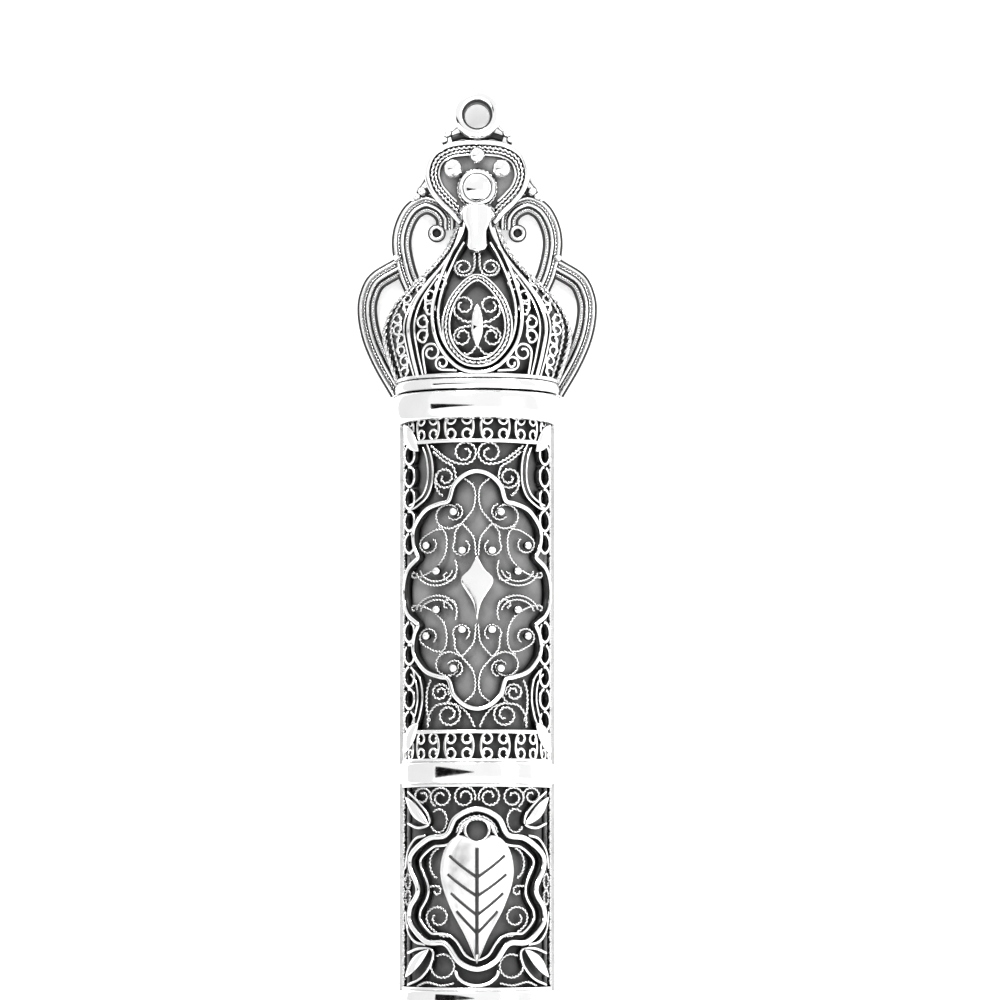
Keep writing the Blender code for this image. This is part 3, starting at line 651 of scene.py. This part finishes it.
def panel_corner_fill(work):
    """The corners outside a long panel's cartouche: kissing scrolls, spirals and lyre wires."""
    seen = work.surface.seen
    twists = (
        tailed([(5.9, 18.2), (4.2, 16.7), (2.8, 15.9)], (1.6, 17.2), 1.5, -90, -1.5, 0.3),
        tailed([(5.6, 17.4), (4.3, 16.2), (3.1, 15.4), (2.75, 14.2)], (4.1, 14.0), 1.35, 185, 1.6, 0.25),
        [(5.2, 14.6), (5.35, 13.2), (4.9, 12.1), (4.3, 11.6)],
        tailed([(6.3, -18.2), (6.2, -16.7), (5.3, -15.4)], (3.6, -16.6), 1.5, 75, 1.55, 0.3),
        [(3.6, -15.1), (2.2, -15.5), (1.1, -16.6), (0.3, -18.2)],
        spiral((4.7, -13.7), 1.1, 200, -1.6, 0.25),
        [(5.9, -12.0), (6.4, -13.6), (6.4, -16.0), (6.0, -17.4)],
        [(3.5, -13.0), (3.3, -14.2), (3.9, -15.1)],
    )
    lyres = (
        [(6.5, 18.6), (5.85, 16.5), (5.75, 13.8), (6.4, 11.7), (7.7, 10.5), (8.8, 10.0)],
        [(7.9, -18.2), (7.35, -16.6), (7.0, -14.3), (7.3, -12.0), (8.2, -10.6)],
    )
    both_sides(work.twist, twists, seen)
    both_sides(work.deep, lyres, seen, radius=FINE * 0.85)
    for path in lyres:
        outer = offset(dense(path, 0.3), 0.62 * np.sign(path[0][1]))[1:-1]
        for turned in (outer, mirror_x(outer)):
            work.wire(seen(turned), radius=FINE * 0.8)


def cartouche_fill(work):
    """Scrolls and granules inside a long panel's cartouche, the same in its four quarters."""
    seen = work.surface.seen
    pinch = (2.0, 8.6)
    paths = (
        [(1.6, 14.4), (0.5, 13.4), (0.22, 12.0), (0.6, 10.3), pinch],
        [pinch, (1.3, 7.9), (0.4, 6.6), (0.15, 4.4)],
        tailed([pinch, (2.8, 7.5)], (1.95, 5.6), 1.15, 35, -0.75, 0.75),
        tailed([pinch, (3.2, 8.0)], (3.7, 9.6), 1.6, -75, 0.72, 0.8),
        arc((2.9, 10.1), (1.0, 1.0), 100, 330),
        tailed(
            [(4.9, 8.3), (4.1, 7.4), (3.9, 5.9), (4.3, 4.2), (5.6, 2.7), (7.2, 1.9)],
            (8.0, 2.3), 0.5, -110, 0.5,
        ),
        tailed([(4.4, 7.9), (5.4, 7.8), (6.5, 7.2)], (6.2, 6.0), 1.15, 60, -0.8, 0.75),
        tailed([(2.8, 3.9), (2.6, 2.8), (2.9, 1.4)], (3.7, 2.0), 0.85, 205, 0.65),
        arc((5.2, 2.9), (2.1, 1.7), 190, 350),
        arc((5.2, 3.0), (2.7, 2.35), 200, 345),
    )
    for path in paths:
        for turned in quarters(dense(path, 0.25), CARTOUCHE_MIDDLE):
            work.twist(seen(turned), radius=TWIST * 0.85)
    for x, y in ((2.95, 10.1), (6.3, 5.85), (1.85, 5.1), (5.05, 2.5)):
        for spot in quarters([(x, y)], CARTOUCHE_MIDDLE):
            work.granule(*seen(spot)[0], lift=0.25)


def edge_wires(work, half):
    """The wires along a panel's top and bottom, and up its back edges against the back plate."""
    for way in (1, -1):
        work.wire([(across, way * half) for across in (-16, 0, 16)], radius=0.3)
        work.wire([(way * BACK_EDGE, up) for up in (-half, 0, half)], radius=0.25, lift=-0.1)


def corner_leaves(name, tube, inner, outer, width, ridge, lift):
    """Four leaves in a panel's corners. inner and outer are the ends of one, seen from the front."""
    for level_name, high in (("top", 1), ("bottom", -1)):
        for side_name, side in (("left", -1), ("right", 1)):
            leaf = Work(tube)
            ends = tube.seen([(side * x, high * y) for x, y in (inner, outer)])
            pointed_leaf(leaf, *ends, width, ridge, lift)
            node = f"{name}_leaf_{level_name}_{side_name}"
            leaf.piece(node, "blade", "case", POLISHED)


def long_panel(name, middle):
    tube = Tube(middle)
    work = Work(tube)
    for way in (1, -1):
        end_rows(work, way * STRAIGHT, way)
    border_columns(work, STRAIGHT, clear=4.3)
    panel_corner_fill(work)
    cartouche_fill(work)
    edge_wires(work, PANEL_HALF - 0.15)
    work.piece(f"{name}_panel", "filigree", "case", (WIRE, OXIDE_AND_SHADE))

    frame_wire = Work(tube)
    outline = dense(tube.seen(dense(cartouche_outline(), 0.3, closed=True)), 0.25, closed=True)
    frame_wire.deep(outline, radius=0.32, lift=0.25, depth=1.0, closed=True)
    frame_wire.piece(f"{name}_cartouche", "wire", "case", (BRIGHT, OXIDE_AND_SHADE))

    plaque = Work(tube)
    kite_plaque(plaque)
    plaque.piece(f"{name}_diamond", "plaque", "case", POLISHED)
    corner_leaves(name, tube, (7.4, 17.6), (9.25, 21.4), 2.3, 0.35, 0.35)


def kite_plaque(work):
    """A kite with drawn-in sides, lying flat in front of the wires."""
    half = dense([(0.0, -4.6), (0.55, -2.2), (2.1, 0.6), (0.9, 2.2), (0.0, 4.0)], 0.5)
    rows = []
    for lift, shrink in ((0.1, 1.0), (0.45, 1.0), (0.55, 0.9), (0.56, 0.84)):
        ring = mirrored(half * shrink)
        points = work.surface.at(work.surface.seen(ring), 0.0)[0]
        points[:, 1] = -SIDE_DEPTH - TUBE_RADIUS - lift
        rows.append(points)
    centre = np.tile(rows[-1].mean(axis=0), (len(rows[-1]), 1))
    rows.append(rows[-1] * 0.05 + centre * 0.95)
    work.skin(np.stack(rows), False)


# The centre panel.

CENTRE_CARTOUCHE = (
    (0, 10.0), (2.6, 8.9), (3.8, 6.7), (6.0, 6.2), (8.0, 4.4), (8.3, 2.6), (7.3, -0.4),
    (8.3, -2.8), (8.2, -4.8), (6.3, -7.0), (3.9, -7.3), (2.2, -9.6), (0, -10.5),
)


def centre_fill(work):
    """Spirals, rings and crescents round and inside the centre panel's cartouche."""
    seen = work.surface.seen
    work.wire(seen(arc((0, 7.3), 1.55, 0, 360, 20)[:-1]), radius=FINE, closed=True)
    work.twist(seen(arc((0, 6.7), (2.6, 2.4), 5, 175)))
    work.twist(seen(arc((0, 6.7), (2.1, 1.95), 5, 175)), radius=TWIST * 0.8)
    work.wire(seen(arc((0, -10.7), (2.7, 1.9), 180, 360)), radius=FINE * 1.3)
    twists = (
        spiral((1.6, 11.55), 1.4, 200, -1.6, 0.3),
        spiral((4.6, 11.5), 1.35, -60, 1.6, 0.3),
        spiral((7.0, 11.7), 1.1, 200, -1.4, 0.3),
        arc((4.9, 8.5), (1.05, 1.5), 50, 330),
        arc((4.4, -10.1), 1.5, 60, 400),
        [(2.9, -12.3), (4.6, -12.6), (6.4, -12.2), (7.6, -12.7)],
        tailed([(3.4, -6.3), (4.6, -6.2), (5.9, -5.2)], (5.0, -3.9), 1.45, -30, 1.2, 0.35),
        arc((4.6, 3.0), (1.4, 2.0), -70, 80),
        tailed([(6.0, 0.1)], (5.2, -0.5), 0.65, 80, 0.8),
        arc((8.85, 0.75), (0.3, 0.95), 0, 350),
        arc((8.85, -1.35), (0.3, 0.95), 0, 350),
    )
    both_sides(work.twist, twists, seen, radius=TWIST * 0.9)
    wires = (
        [(6.6, 6.6), (7.9, 6.2), (8.9, 4.6), (9.2, 2.4)],
        [(6.6, -7.4), (8.0, -7.0), (8.9, -5.6), (9.2, -3.2)],
        [(8.9, 12.3), (7.6, 11.0), (6.3, 9.3), (6.2, 8.0), (7.6, 7.6), (8.9, 8.2)],
        [(8.9, -12.6), (7.2, -11.7), (5.9, -9.9), (5.7, -8.1), (7.4, -7.9), (8.9, -8.5)],
    )
    both_sides(work.deep, wires, seen, radius=FINE * 0.9)


def centre_panel():
    tube = Tube(0)
    work = Work(tube)
    half = CENTRE_TOP - 0.1
    centre_fill(work)
    border_columns(work, half - 0.3, clear=half)
    edge_wires(work, half)
    # Near-black strips on the liner down the panel's sides: painted shade.
    work.slot = 1
    for across in (12.6, -12.6):
        work.ribbon([(across, up) for up in (-half, 0, half)], 1.6, 0.12, lift=-0.5)
    work.piece("centre_panel", "filigree", "case", (WIRE, OXIDE_AND_SHADE))

    frame_wire = Work(tube)
    flat = dense(mirrored(CENTRE_CARTOUCHE), 0.3, closed=True)
    outline = dense(tube.seen(flat), 0.25, closed=True)
    frame_wire.ribbon(outline, 0.4, 0.4, lift=0.25, closed=True)
    inner = dense(tube.seen(offset(flat, -1.15, closed=True)), 0.25, closed=True)
    frame_wire.deep(inner, radius=0.2, lift=0.05, depth=0.8, closed=True)
    # A near-black ribbon under the frame: painted shadow.
    frame_wire.slot = 1
    frame_wire.ribbon(outline, 0.3, 0.45, lift=-0.25, closed=True)
    frame_wire.piece("centre_cartouche", "wire", "case", (BRIGHT, OXIDE_AND_SHADE))

    corner_leaves("centre", tube, (6.0, 8.0), (8.9, 11.6), 1.5, 0.3, 0.4)
    centre_leaf(tube)


def centre_leaf(tube):
    """The broad leaf: a raised blade with a rim, a midrib and side veins filled with oxide."""
    work = Work(tube)
    half = dense([(0.0, -9.8), (1.3, -6.4), (3.1, -2.6), (4.2, 1.4), (3.7, 4.9), (2.0, 6.6), (0.0, 5.4)], 0.5)
    profile = ((1.0, 0.4), (1.0, 1.1), (0.93, 1.35), (0.86, 1.1), (0.6, 1.4), (0.3, 1.7), (0.02, 2.0))
    rows = []
    for share, lift in profile:
        right = half * (share, 1 - 0.12 * (1 - share)) + (0, -0.1 * (1 - share))
        rows.append(work.surface.at(tube.seen(mirrored(right)), lift)[0])
    work.skin(np.stack(rows), False)

    edge = half[: np.argmax(half[:, 1])]
    shares, lifts = np.array(profile[:0:-1]).T

    def on_blade(path):
        wide = np.interp(path[:, 1], edge[:, 1], edge[:, 0])
        return np.interp(np.abs(path[:, 0]) / wide, shares, lifts)

    work.slot = 1
    work.wire([(0, 5.0), (0, 0), (0, -8.6)], radius=0.24, lift=on_blade)
    veins = []
    for low in (2.2, -0.2, -2.6, -4.9):
        reach = np.interp(low + 1.8, edge[:, 1], edge[:, 0]) * 0.8
        veins.append([(0.1, low - 0.9), (reach * 0.55, low + 0.5), (reach, low + 1.8)])
    both_sides(work.wire, veins, radius=0.19, lift=on_blade)
    work.piece("centre_leaf", "blade", "case", (SATIN, OXIDE_AND_SHADE))


# The crown and the foot.


def side_gores(work):
    """Meridian wires, ropes and scrolls on the flanks of a dome. Shares are of the dome's half-width."""
    seen = work.surface.seen

    def meridian(share, top):
        return seen([(share * dome_radius(h), h) for h in np.linspace(0.3, top, 12)])

    for side in (1, -1):
        work.deep(meridian(side * 0.66, 14.0), radius=FINE * 0.9)
        work.ribbon(meridian(side * 0.715, 20.5), 0.3, 0.3, lift=0.1)
        work.deep(meridian(side * 0.77, 17.0), radius=FINE * 0.9)
        work.twist(meridian(side * 0.9, 20.8), radius=TWIST * 1.2, lift=0.1)
        work.twist(meridian(side * 0.968, 20.8), radius=ROPE, lift=0.1)
        for share, width, height, heights in (
            (0.835, 0.95, 2.7, (1.9, 4.6, 7.3, 10.0, 12.7)),
            (0.56, 1.3, 3.4, (6.3, 9.8, 13.2)),
        ):
            for k, h in enumerate(heights):
                x = side * share * float(dome_radius(h))
                path = c_scroll(x, h, width, height, side * (1 if k % 2 else -1))
                work.wire(seen(path), radius=FINE * 0.95)
        for k, h in enumerate((1.9, 4.7, 7.5, 10.3, 13.1)):
            work.twist(c_scroll(side * 14.2, h, 1.1, 2.7, side * (1 if k % 2 else -1)))
        work.wire([(side * 15.3, h) for h in (0.4, 7, 14, 20)], radius=FINE)
        curls = (
            tailed([(6.6, 0.6), (6.9, 2.4)], (5.9, 3.3), 1.1, -10, 1.4, 0.3),
            tailed([(2.6, 0.9), (3.9, 1.0)], (4.5, 1.9), 0.85, -80, 1.3, 0.3),
        )
        for path in curls:
            work.wire(seen(path * (side, 1)), radius=FINE * 0.95)


def front_scrolls(work):
    """Scrolls inside the teardrop on a dome's front."""
    upper = tailed([(0.3, 16.8), (0.4, 14.6), (1.1, 13.5), (2.3, 13.6)], (1.8, 14.7), 1.05, -30, 1.3, 0.4)
    arm = tailed([(0.7, 6.9), (1.6, 7.0), (2.8, 7.9)], (1.7, 9.1), 1.2, -10, 1.2, 0.45)
    leg = tailed([(0.7, 6.4), (1.6, 6.3)], (1.9, 5.1), 1.1, 80, -1.3, 0.45)
    foot = [(0.1, 3.9), (1.0, 2.9), (2.2, 3.0)]
    both_sides(work.twist, (upper, arm, leg, foot), work.surface.seen)


TEARDROP = (
    (0, 0.75), (2.6, 1.5), (4.9, 4.3), (5.65, 8.0), (5.0, 12.0), (3.5, 16.2), (2.0, 19.2), (1.4, 21.2),
)


def dome(prefix, way, body):
    surface = Dome(way)
    work = Work(surface)
    side_gores(work)
    front_scrolls(work)
    work.wire([(across, 0.35) for across in (-DOME_EDGE, 0, DOME_EDGE)], radius=0.35)
    work.piece(f"{prefix}_dome", "filigree", body, (WIRE, OXIDE_AND_SHADE))

    tear = Work(surface)
    flat = dense([(-x, y) for x, y in TEARDROP[:0:-1]] + list(TEARDROP), 0.3)
    tear.deep(surface.seen(flat), radius=PLAIN, lift=0.2, depth=1.0)
    inner = [p for p in offset(flat, 0.72) if p[1] < 18.5]
    tear.deep(surface.seen(inner), radius=FINE, lift=0.15, depth=0.9)
    tear.piece(f"{prefix}_teardrop", "wires", body, (BRIGHT, OXIDE_AND_SHADE))

    leaf = Work(surface)
    pointed_leaf(leaf, (0, 3.7), (0, 9.3), 1.25, 0.35, 0.3)
    leaf.piece(f"{prefix}_marquise", "blade", body, POLISHED)
    calyx(prefix, way, body)
    smooth_dome(prefix, way, body)


def calyx(prefix, way, body):
    """The polished tongue that wraps the dome's neck and narrows to a rounded tip."""
    work = Work(Dome(way))
    heights = np.linspace(16.6, 23.3, 16)
    share = (heights - heights[0]) / (heights[-1] - heights[0])
    tip = np.sqrt(np.clip(share / 0.12, 0, 1))
    halves = tip * (2.6 + 1.4 * share + 11.0 * np.clip((share - 0.45) / 0.55, 0, 1) ** 1.6)
    work.sheet(heights, np.maximum(halves, 0.05), 13, 0.05, lambda t: 0.55 + 0.35 * np.cos(t * math.pi / 2))
    work.piece(f"{prefix}_calyx", "skin", body, POLISHED)


def smooth_dome(prefix, way, body):
    """The inner dome, darker than the tube's liner."""
    work = Work(Dome(way, inset=0.75))
    heights = np.linspace(0.1, 23.2, 40)
    halves = np.full(len(heights), DOME_EDGE)
    work.sheet(heights, halves, 41, -0.15, polish=lambda across, up: np.full_like(across, 0.36))
    work.piece(f"{prefix}_dome", "skin", body, LINER, stands_for=f"{prefix}_dome_liner")


# The outer edges of the side loops.
LOWER_LOOP = (
    (10.7, 16.6), (13.9, 14.6), (15.2, 12.2), (15.5, 9.6), (14.9, 6.2), (13.4, 2.6), (11.1, -1.4),
)
LOWER_LOOP_TO_DOME = ((5.8, 16.2), (8.2, 17.0))  # where no upper loop meets a lower one
UPPER_LOOP = (
    (9.1, 11.9), (10.3, 14.8), (11.0, 18.4), (10.6, 21.3), (9.2, 23.8), (6.9, 25.0), (4.6, 24.3),
    (3.2, 22.6), (3.0, 20.6),
)


def banded_loop(node, path, inward, side, way, body, eye=None):
    """A flat band of plain and twisted wires side by side, on the wall plane."""
    work = Work(Flat(way))
    edge = dense(path, 0.3) * (side, 1)
    inward *= side
    depth = 0.75
    middle = offset(edge, inward * 1.05)
    work.slot = 2
    work.ribbon(middle, 1.15, 0.2, lift=0.22)
    # Near-black ribbon and wires along and under the band: painted shade between its wires and along its
    # edges.
    work.slot = 1
    work.ribbon(middle, 1.3, 0.2, lift=0.52)
    work.wire(offset(edge, -inward * 0.05), radius=0.18, lift=depth - 0.15)
    work.wire(offset(edge, inward * 2.2), radius=0.2, lift=depth - 0.15)
    work.slot = 0
    work.wire(offset(edge, inward * 0.25), radius=0.22, lift=depth)
    work.twist(offset(edge, inward * 0.68), radius=0.2, lift=depth - 0.12)
    work.wire(offset(edge, inward * 1.15), radius=0.25, lift=depth)
    work.twist(offset(edge, inward * 1.78), radius=0.15, lift=depth - 0.05)
    if eye:
        place = (side * eye[0], eye[1])
        work.wire(arc(place, 0.78, 0, 360, 16)[:-1], radius=0.26, lift=depth + 0.2, closed=True)
        # A near-black ring round the eye: painted shade outline.
        work.slot = 1
        work.wire(arc(place, 1.0, 0, 360, 16)[:-1], radius=0.2, lift=depth - 0.1, closed=True)
        work.granule(*place, radius=0.65, lift=0.6, flat=0.3)
    work.piece(node, "band", body, (WIRE, OXIDE_AND_SHADE, PLATE))


def loops(prefix, way, body, upper):
    lower = LOWER_LOOP if upper else LOWER_LOOP_TO_DOME + LOWER_LOOP
    for side_name, side in (("left", -1), ("right", 1)):
        banded_loop(f"{prefix}_lower_loop_{side_name}", lower, -1, side, way, body)
        if upper:
            node = f"{prefix}_upper_loop_{side_name}"
            banded_loop(node, UPPER_LOOP, 1, side, way, body, eye=(5.3, 20.1))


def eyelet(prefix, way, body, height):
    """The nail ring: a thick flat ring with rounded edges, and a near-black sleeve in its hole painted as the
    shadow there.
    """
    angles = np.linspace(0, 2 * math.pi, 48, endpoint=False)
    z = way * (DOME_BASE + height)

    def turned(profile):
        return np.array([[(r * math.cos(a), -d, z + r * math.sin(a)) for r, d in profile] for a in angles])

    work = Work(None)
    front = [(1.85, 0.5), (1.85, 1.9), (2.05, 2.3), (2.45, 2.42), (2.85, 2.3), (3.15, 1.9)]
    work.skin(turned(front + [(3.2, 1.2), (3.2, 0.4), (2.9, 0.0), (2.1, 0.0)]), True)
    # Near-black sleeve in the hole: painted shadow.
    work.slot = 1
    work.skin(turned([(1.6, 0.05), (1.8, 2.1), (1.95, 2.1), (1.95, 0.05)]), True)
    work.piece(f"{prefix}_eyelet", "ring", body, (POLISHED, OXIDE_AND_SHADE))


TOP_FRAME = (
    (2.1, 21.3), (3.3, 22.7), (4.75, 24.1), (6.05, 25.8), (6.6, 28.0), (5.8, 30.3), (3.8, 31.6), (1.3, 32.0),
    (0, 32.0),
)


def top_frame():
    """The frame round the boss: twisted ropes in a plain rim, with granules on its shoulders."""
    work = Work(Flat(1, depth=-BACK_FACE))
    path = dense(list(TOP_FRAME) + [(-x, y) for x, y in TOP_FRAME[-2::-1]], 0.3)
    work.wire(path, radius=0.38, lift=0.55)
    work.twist(offset(path, 0.66)[2:-2], radius=0.3, lift=0.5)
    work.twist(offset(path, 1.12)[4:-4], radius=0.24, lift=0.5)
    work.wire(offset(path, 1.55)[8:-8], radius=FINE, lift=0.35)
    for side in (1, -1):
        way = (side, 1)
        # Near-black ribbons behind the shoulders: painted shade.
        work.slot = 1
        work.ribbon(np.array([(0.4, 32.8), (2.0, 33.0), (3.4, 32.6)]) * way, 0.5, 0.35, lift=-0.3)
        work.ribbon(np.array([(6.0, 26.0), (6.9, 25.5), (7.5, 25.0)]) * way, 0.55, 0.35, lift=-0.3)
        work.slot = 0
        for shoulder in ([(2.7, 34.3), (3.7, 33.4), (4.6, 31.9)], [(6.8, 27.4), (7.7, 26.2), (8.5, 24.3)]):
            work.wire(np.array(shoulder) * way, radius=0.28, lift=-0.1)
        for x, y in ((3.9, 33.3), (7.2, 25.6)):
            work.granule(side * x, y, radius=0.62, lift=0.1)
        for x, y in ((4.3, 32.4), (7.9, 24.9), (10.6, 16.8)):
            work.granule(side * x, y, radius=0.5, lift=0.1)
    work.piece("crown_top_frame", "wires", "crown", (WIRE, OXIDE_AND_SHADE))


def boss():
    """The round setting with its domed disc, and the three balls over it."""
    centre = (0, BOSS_HEIGHT)
    bezel = Work(Flat(1, depth=-BACK_FACE))
    ring = arc(centre, 2.15, 0, 360, 32)[:-1]
    bezel.wire(ring, radius=0.28, lift=1.5, closed=True)
    bezel.ribbon(ring, 0.2, 0.9, lift=0.7, closed=True)
    bezel.twist(arc(centre, 2.5, 0, 360, 36)[:-1], radius=TWIST, lift=0.35, closed=True)
    bezel.piece("crown_boss_bezel", "ring", "crown", BRIGHT)
    disc = Work(None)
    disc.ball((0, -2.2, DOME_BASE + BOSS_HEIGHT), 1.95, flat=0.6, sides=40)
    disc.piece("crown_boss", "disc", "crown", POLISHED)
    balls = (("left", -3.15, 28.45, 1.25), ("right", 3.15, 28.45, 1.25), ("top", 0, 30.2, 1.05))
    for name, x, height, radius in balls:
        ball = Work(None)
        ball.ball((x, BACK_FACE - radius, DOME_BASE + height), radius, sides=32)
        ball.piece(f"crown_ball_{name}", "bead", "crown", POLISHED)


INNER_TEARDROP = (
    (0, 1.9), (1.9, 2.4), (3.5, 4.3), (3.95, 6.8), (3.3, 9.4), (2.0, 11.5), (0.8, 12.7), (0, 13.0),
)


def inner_teardrop():
    """A twisted wire between fine ones, inside the teardrop."""
    work = Work(Dome(1))
    flat = dense(mirrored(INNER_TEARDROP), 0.3, closed=True)
    seen = work.surface.seen
    work.twist(seen(flat), radius=TWIST * 1.1, lift=0.15, closed=True)
    for shift in (0.42, -0.42):
        work.wire(seen(offset(flat, shift, closed=True)), radius=0.16, lift=0.15, closed=True)
    work.piece("crown_inner_teardrop", "wires", "crown", WIRE)


def mouldings(prefix, way, body):
    """Collar and bead."""
    bottom, top = COLLAR_BOTTOM, COLLAR_BOTTOM + COLLAR_HEIGHT
    shoulder = TUBE_TOP + 0.15
    outer = swell(bottom, top, COLLAR_RADIUS, 0.45, 0.45)
    inner = [(bottom, COLLAR_BORE), (shoulder, COLLAR_BORE), (shoulder, NECK_BORE), (top, NECK_BORE)]
    d_ring(f"{prefix}_collar", way, outer, inner, body)
    low, high = top + 0.02, DOME_BASE + 0.05
    outer = swell(low, high, BEAD_RADIUS, 0.25, 0.35, 10)
    d_ring(f"{prefix}_bead", way, outer, [(low, NECK_BORE), (high, NECK_BORE)], body)


def bands():
    """Plain bands round the front and sides, standing on the back plate."""
    inner = d_section(LINER_RADIUS + 0.3, BACK_FACE)[::-1]
    for name, way in (("upper", 1), ("lower", -1)):
        rings = []
        for height, radius in swell(CENTRE_TOP, CENTRE_TOP + BAND_HEIGHT, BAND_RADIUS + 0.03, 0.12, 0.4):
            rings.append(level(np.vstack([d_section(radius, BACK_FACE), inner]), way * height))
        work = Work(None)
        work.skin(np.array(rings), False, drawn=False)
        band = work.piece(f"{name}_band", "skin", "case", POLISHED)
        band.data.set_sharp_from_angle(angle=math.radians(60))


def liner_polish(across, up):
    """Painted shade on the liner: it is darker outside the cartouches than inside them, and darkest behind
    the end rows.
    """
    seen = np.abs(TUBE_RADIUS * np.sin(np.clip(across / LINER_RADIUS, -math.pi / 2, math.pi / 2)))

    def inside(outline, height):
        right = np.array(sorted((y, x) for x, y in outline))
        return seen < np.interp(height, right[:, 0], right[:, 1])

    panel_height = up - np.sign(up) * PANEL_MIDDLE
    long_panel_shade = np.where(inside(CARTOUCHE, np.abs(panel_height - CARTOUCHE_MIDDLE)), 1.0, 0.48)
    centre_shade = np.where(inside(CENTRE_CARTOUCHE, up), 0.44, 0.3)
    shade = np.where(np.abs(panel_height) > STRAIGHT, 0.34, long_panel_shade)
    return np.where(np.abs(up) < CENTRE_TOP + BAND_HEIGHT / 2, centre_shade, shade)


def liner():
    """The smooth grey sheet behind the filigree."""
    heights = np.linspace(-TUBE_TOP, TUBE_TOP, 2 * int(TUBE_TOP / 0.5) + 1)
    work = Work(Tube(0, LINER_RADIUS))
    work.sheet(heights, np.full(len(heights), BACK_EDGE + 0.2), 81, -0.2, polish=liner_polish)
    work.piece("inner_liner", "skin", "case", LINER)


def cad_finishes():
    """Pieces that are shown as the CAD has them."""
    nodes = frame["nodes"]
    finishes = {
        "back_plate": PLATE, "crown_back": PLATE, "foot_back": PLATE,
        "neck": POLISHED, "floor_plate": LINER, "parchment_scroll": SKIN,
    }
    for name, finish in finishes.items():
        nodes[name].data.materials.clear()
        nodes[name].data.materials.append(finish)
    # The back plates' front faces take the darker grey: painted shade.
    for name in ("crown_back", "foot_back"):
        mesh = nodes[name].data
        mesh.materials.append(PLATE_SHADE)
        for face in mesh.polygons:
            face.material_index = 1 if face.normal.y < -0.5 else 0


liner()
long_panel("upper", PANEL_MIDDLE)
long_panel("lower", -PANEL_MIDDLE)
centre_panel()
bands()
for prefix, way, body in (("crown", 1, "crown"), ("foot", -1, "case")):
    mouldings(prefix, way, body)
    dome(prefix, way, body)
    loops(prefix, way, body, upper=prefix == "crown")
eyelet("crown", 1, "crown", CROWN_RING_HEIGHT)
eyelet("foot", -1, "case", FOOT_RING_HEIGHT)
top_frame()
boss()
inner_teardrop()
cad_finishes()


# The studio.


def plain_material(name, colour, glow=0.0, one_sided=False):
    made, nodes, links = nodes_of(name)
    shader = nodes["Principled BSDF"]
    shader.inputs["Base Color"].default_value = (colour, colour, colour, 1)
    shader.inputs["Roughness"].default_value = 0.9
    shader.inputs["Specular IOR Level"].default_value = 0.1
    shader.inputs["Emission Color"].default_value = (1, 1, 1, 1)
    shader.inputs["Emission Strength"].default_value = glow
    if one_sided:
        clear = nodes.new("ShaderNodeBsdfTransparent")
        side = nodes.new("ShaderNodeNewGeometry")
        mix = nodes.new("ShaderNodeMixShader")
        links.new(side.outputs["Backfacing"], mix.inputs["Fac"])
        links.new(shader.outputs["BSDF"], mix.inputs[1])
        links.new(clear.outputs["BSDF"], mix.inputs[2])
        links.new(mix.outputs["Shader"], nodes["Material Output"].inputs["Surface"])
    return made


def upright(left, left_heights, right, right_heights):
    """Corners of an upright sheet between two places (x, y), with its heights at each."""
    (low, high), (right_low, right_high) = left_heights, right_heights
    return [(*left, low), (*right, right_low), (*right, right_high), (*left, high)]


def plane(name, corners, finish):
    mesh = bpy.data.meshes.new(name)
    mesh.from_pydata([tuple(c) for c in corners], [], [(0, 1, 2, 3)])
    mesh.materials.append(finish)
    made = add_object(name, mesh)
    return made


def aim(item, location, target):
    item.location = location
    item.rotation_euler = (Vector(target) - Vector(location)).to_track_quat("-Z", "Y").to_euler()


def area_light(name, location, target, size, power):
    light = bpy.data.lights.new(name, "AREA")
    light.shape = "RECTANGLE"
    light.size, light.size_y = size
    light.energy = power
    made = add_object(name, light)
    aim(made, location, target)


def studio():
    floor_z = -0.1
    wide = 1.2
    floor = plain_material("floor_paper", 0.86)
    wall = plain_material("wall_paper", 0.93, glow=0.3, one_sided=True)
    plane("floor", [(x * wide, y * wide, floor_z) for x, y in ((-1, -1), (1, -1), (1, 1), (-1, 1))], floor)
    behind = 0.0006
    wall_heights = (floor_z, wide)
    plane("wall", upright((-wide, behind), wall_heights, (wide, behind), wall_heights), wall)

    world = bpy.data.worlds.new("studio")
    bpy.context.scene.world = world
    world.use_nodes = True
    background = world.node_tree.nodes["Background"]
    background.inputs["Color"].default_value = (1, 1, 1, 1)
    background.inputs["Strength"].default_value = 0.92
    middle = (0, 0, 0.03)
    area_light("key", (-0.25, -0.6, 0.85), middle, (0.35, 0.35), 9)
    area_light("fill", (0.7, -0.6, 0.2), middle, (0.4, 0.6), 2.0)

    black = plain_material("black_card", 0.0)
    grey = plain_material("grey_card", 0.0, glow=0.8)
    cards = (
        ("dark_wedge", black, (-0.62, -0.30), (-0.06, 0.14), (-0.05, -0.72), (0.035, 0.045)),
        ("side_card", grey, (-0.72, -0.30), (-0.05, 0.12), (-0.015, -0.003), (-0.05, 0.12)),
    )
    for name, finish, *place in cards:
        card = plane(name, upright(*place), finish)
        card.visible_camera = False
        card.visible_shadow = False
        card.visible_diffuse = False


def camera():
    made = add_object("camera", bpy.data.cameras.new("camera"))
    made.data.lens = 201
    made.data.clip_start = 0.01
    aim(made, (0.0, -0.73, 0.0), (0.003, 0.0, 0.0506))
    bpy.context.scene.camera = made


studio()
camera()
scene = bpy.context.scene
scene.view_settings.view_transform = "Standard"
scene.view_settings.look = "None"
scene.view_settings.exposure = 0.1
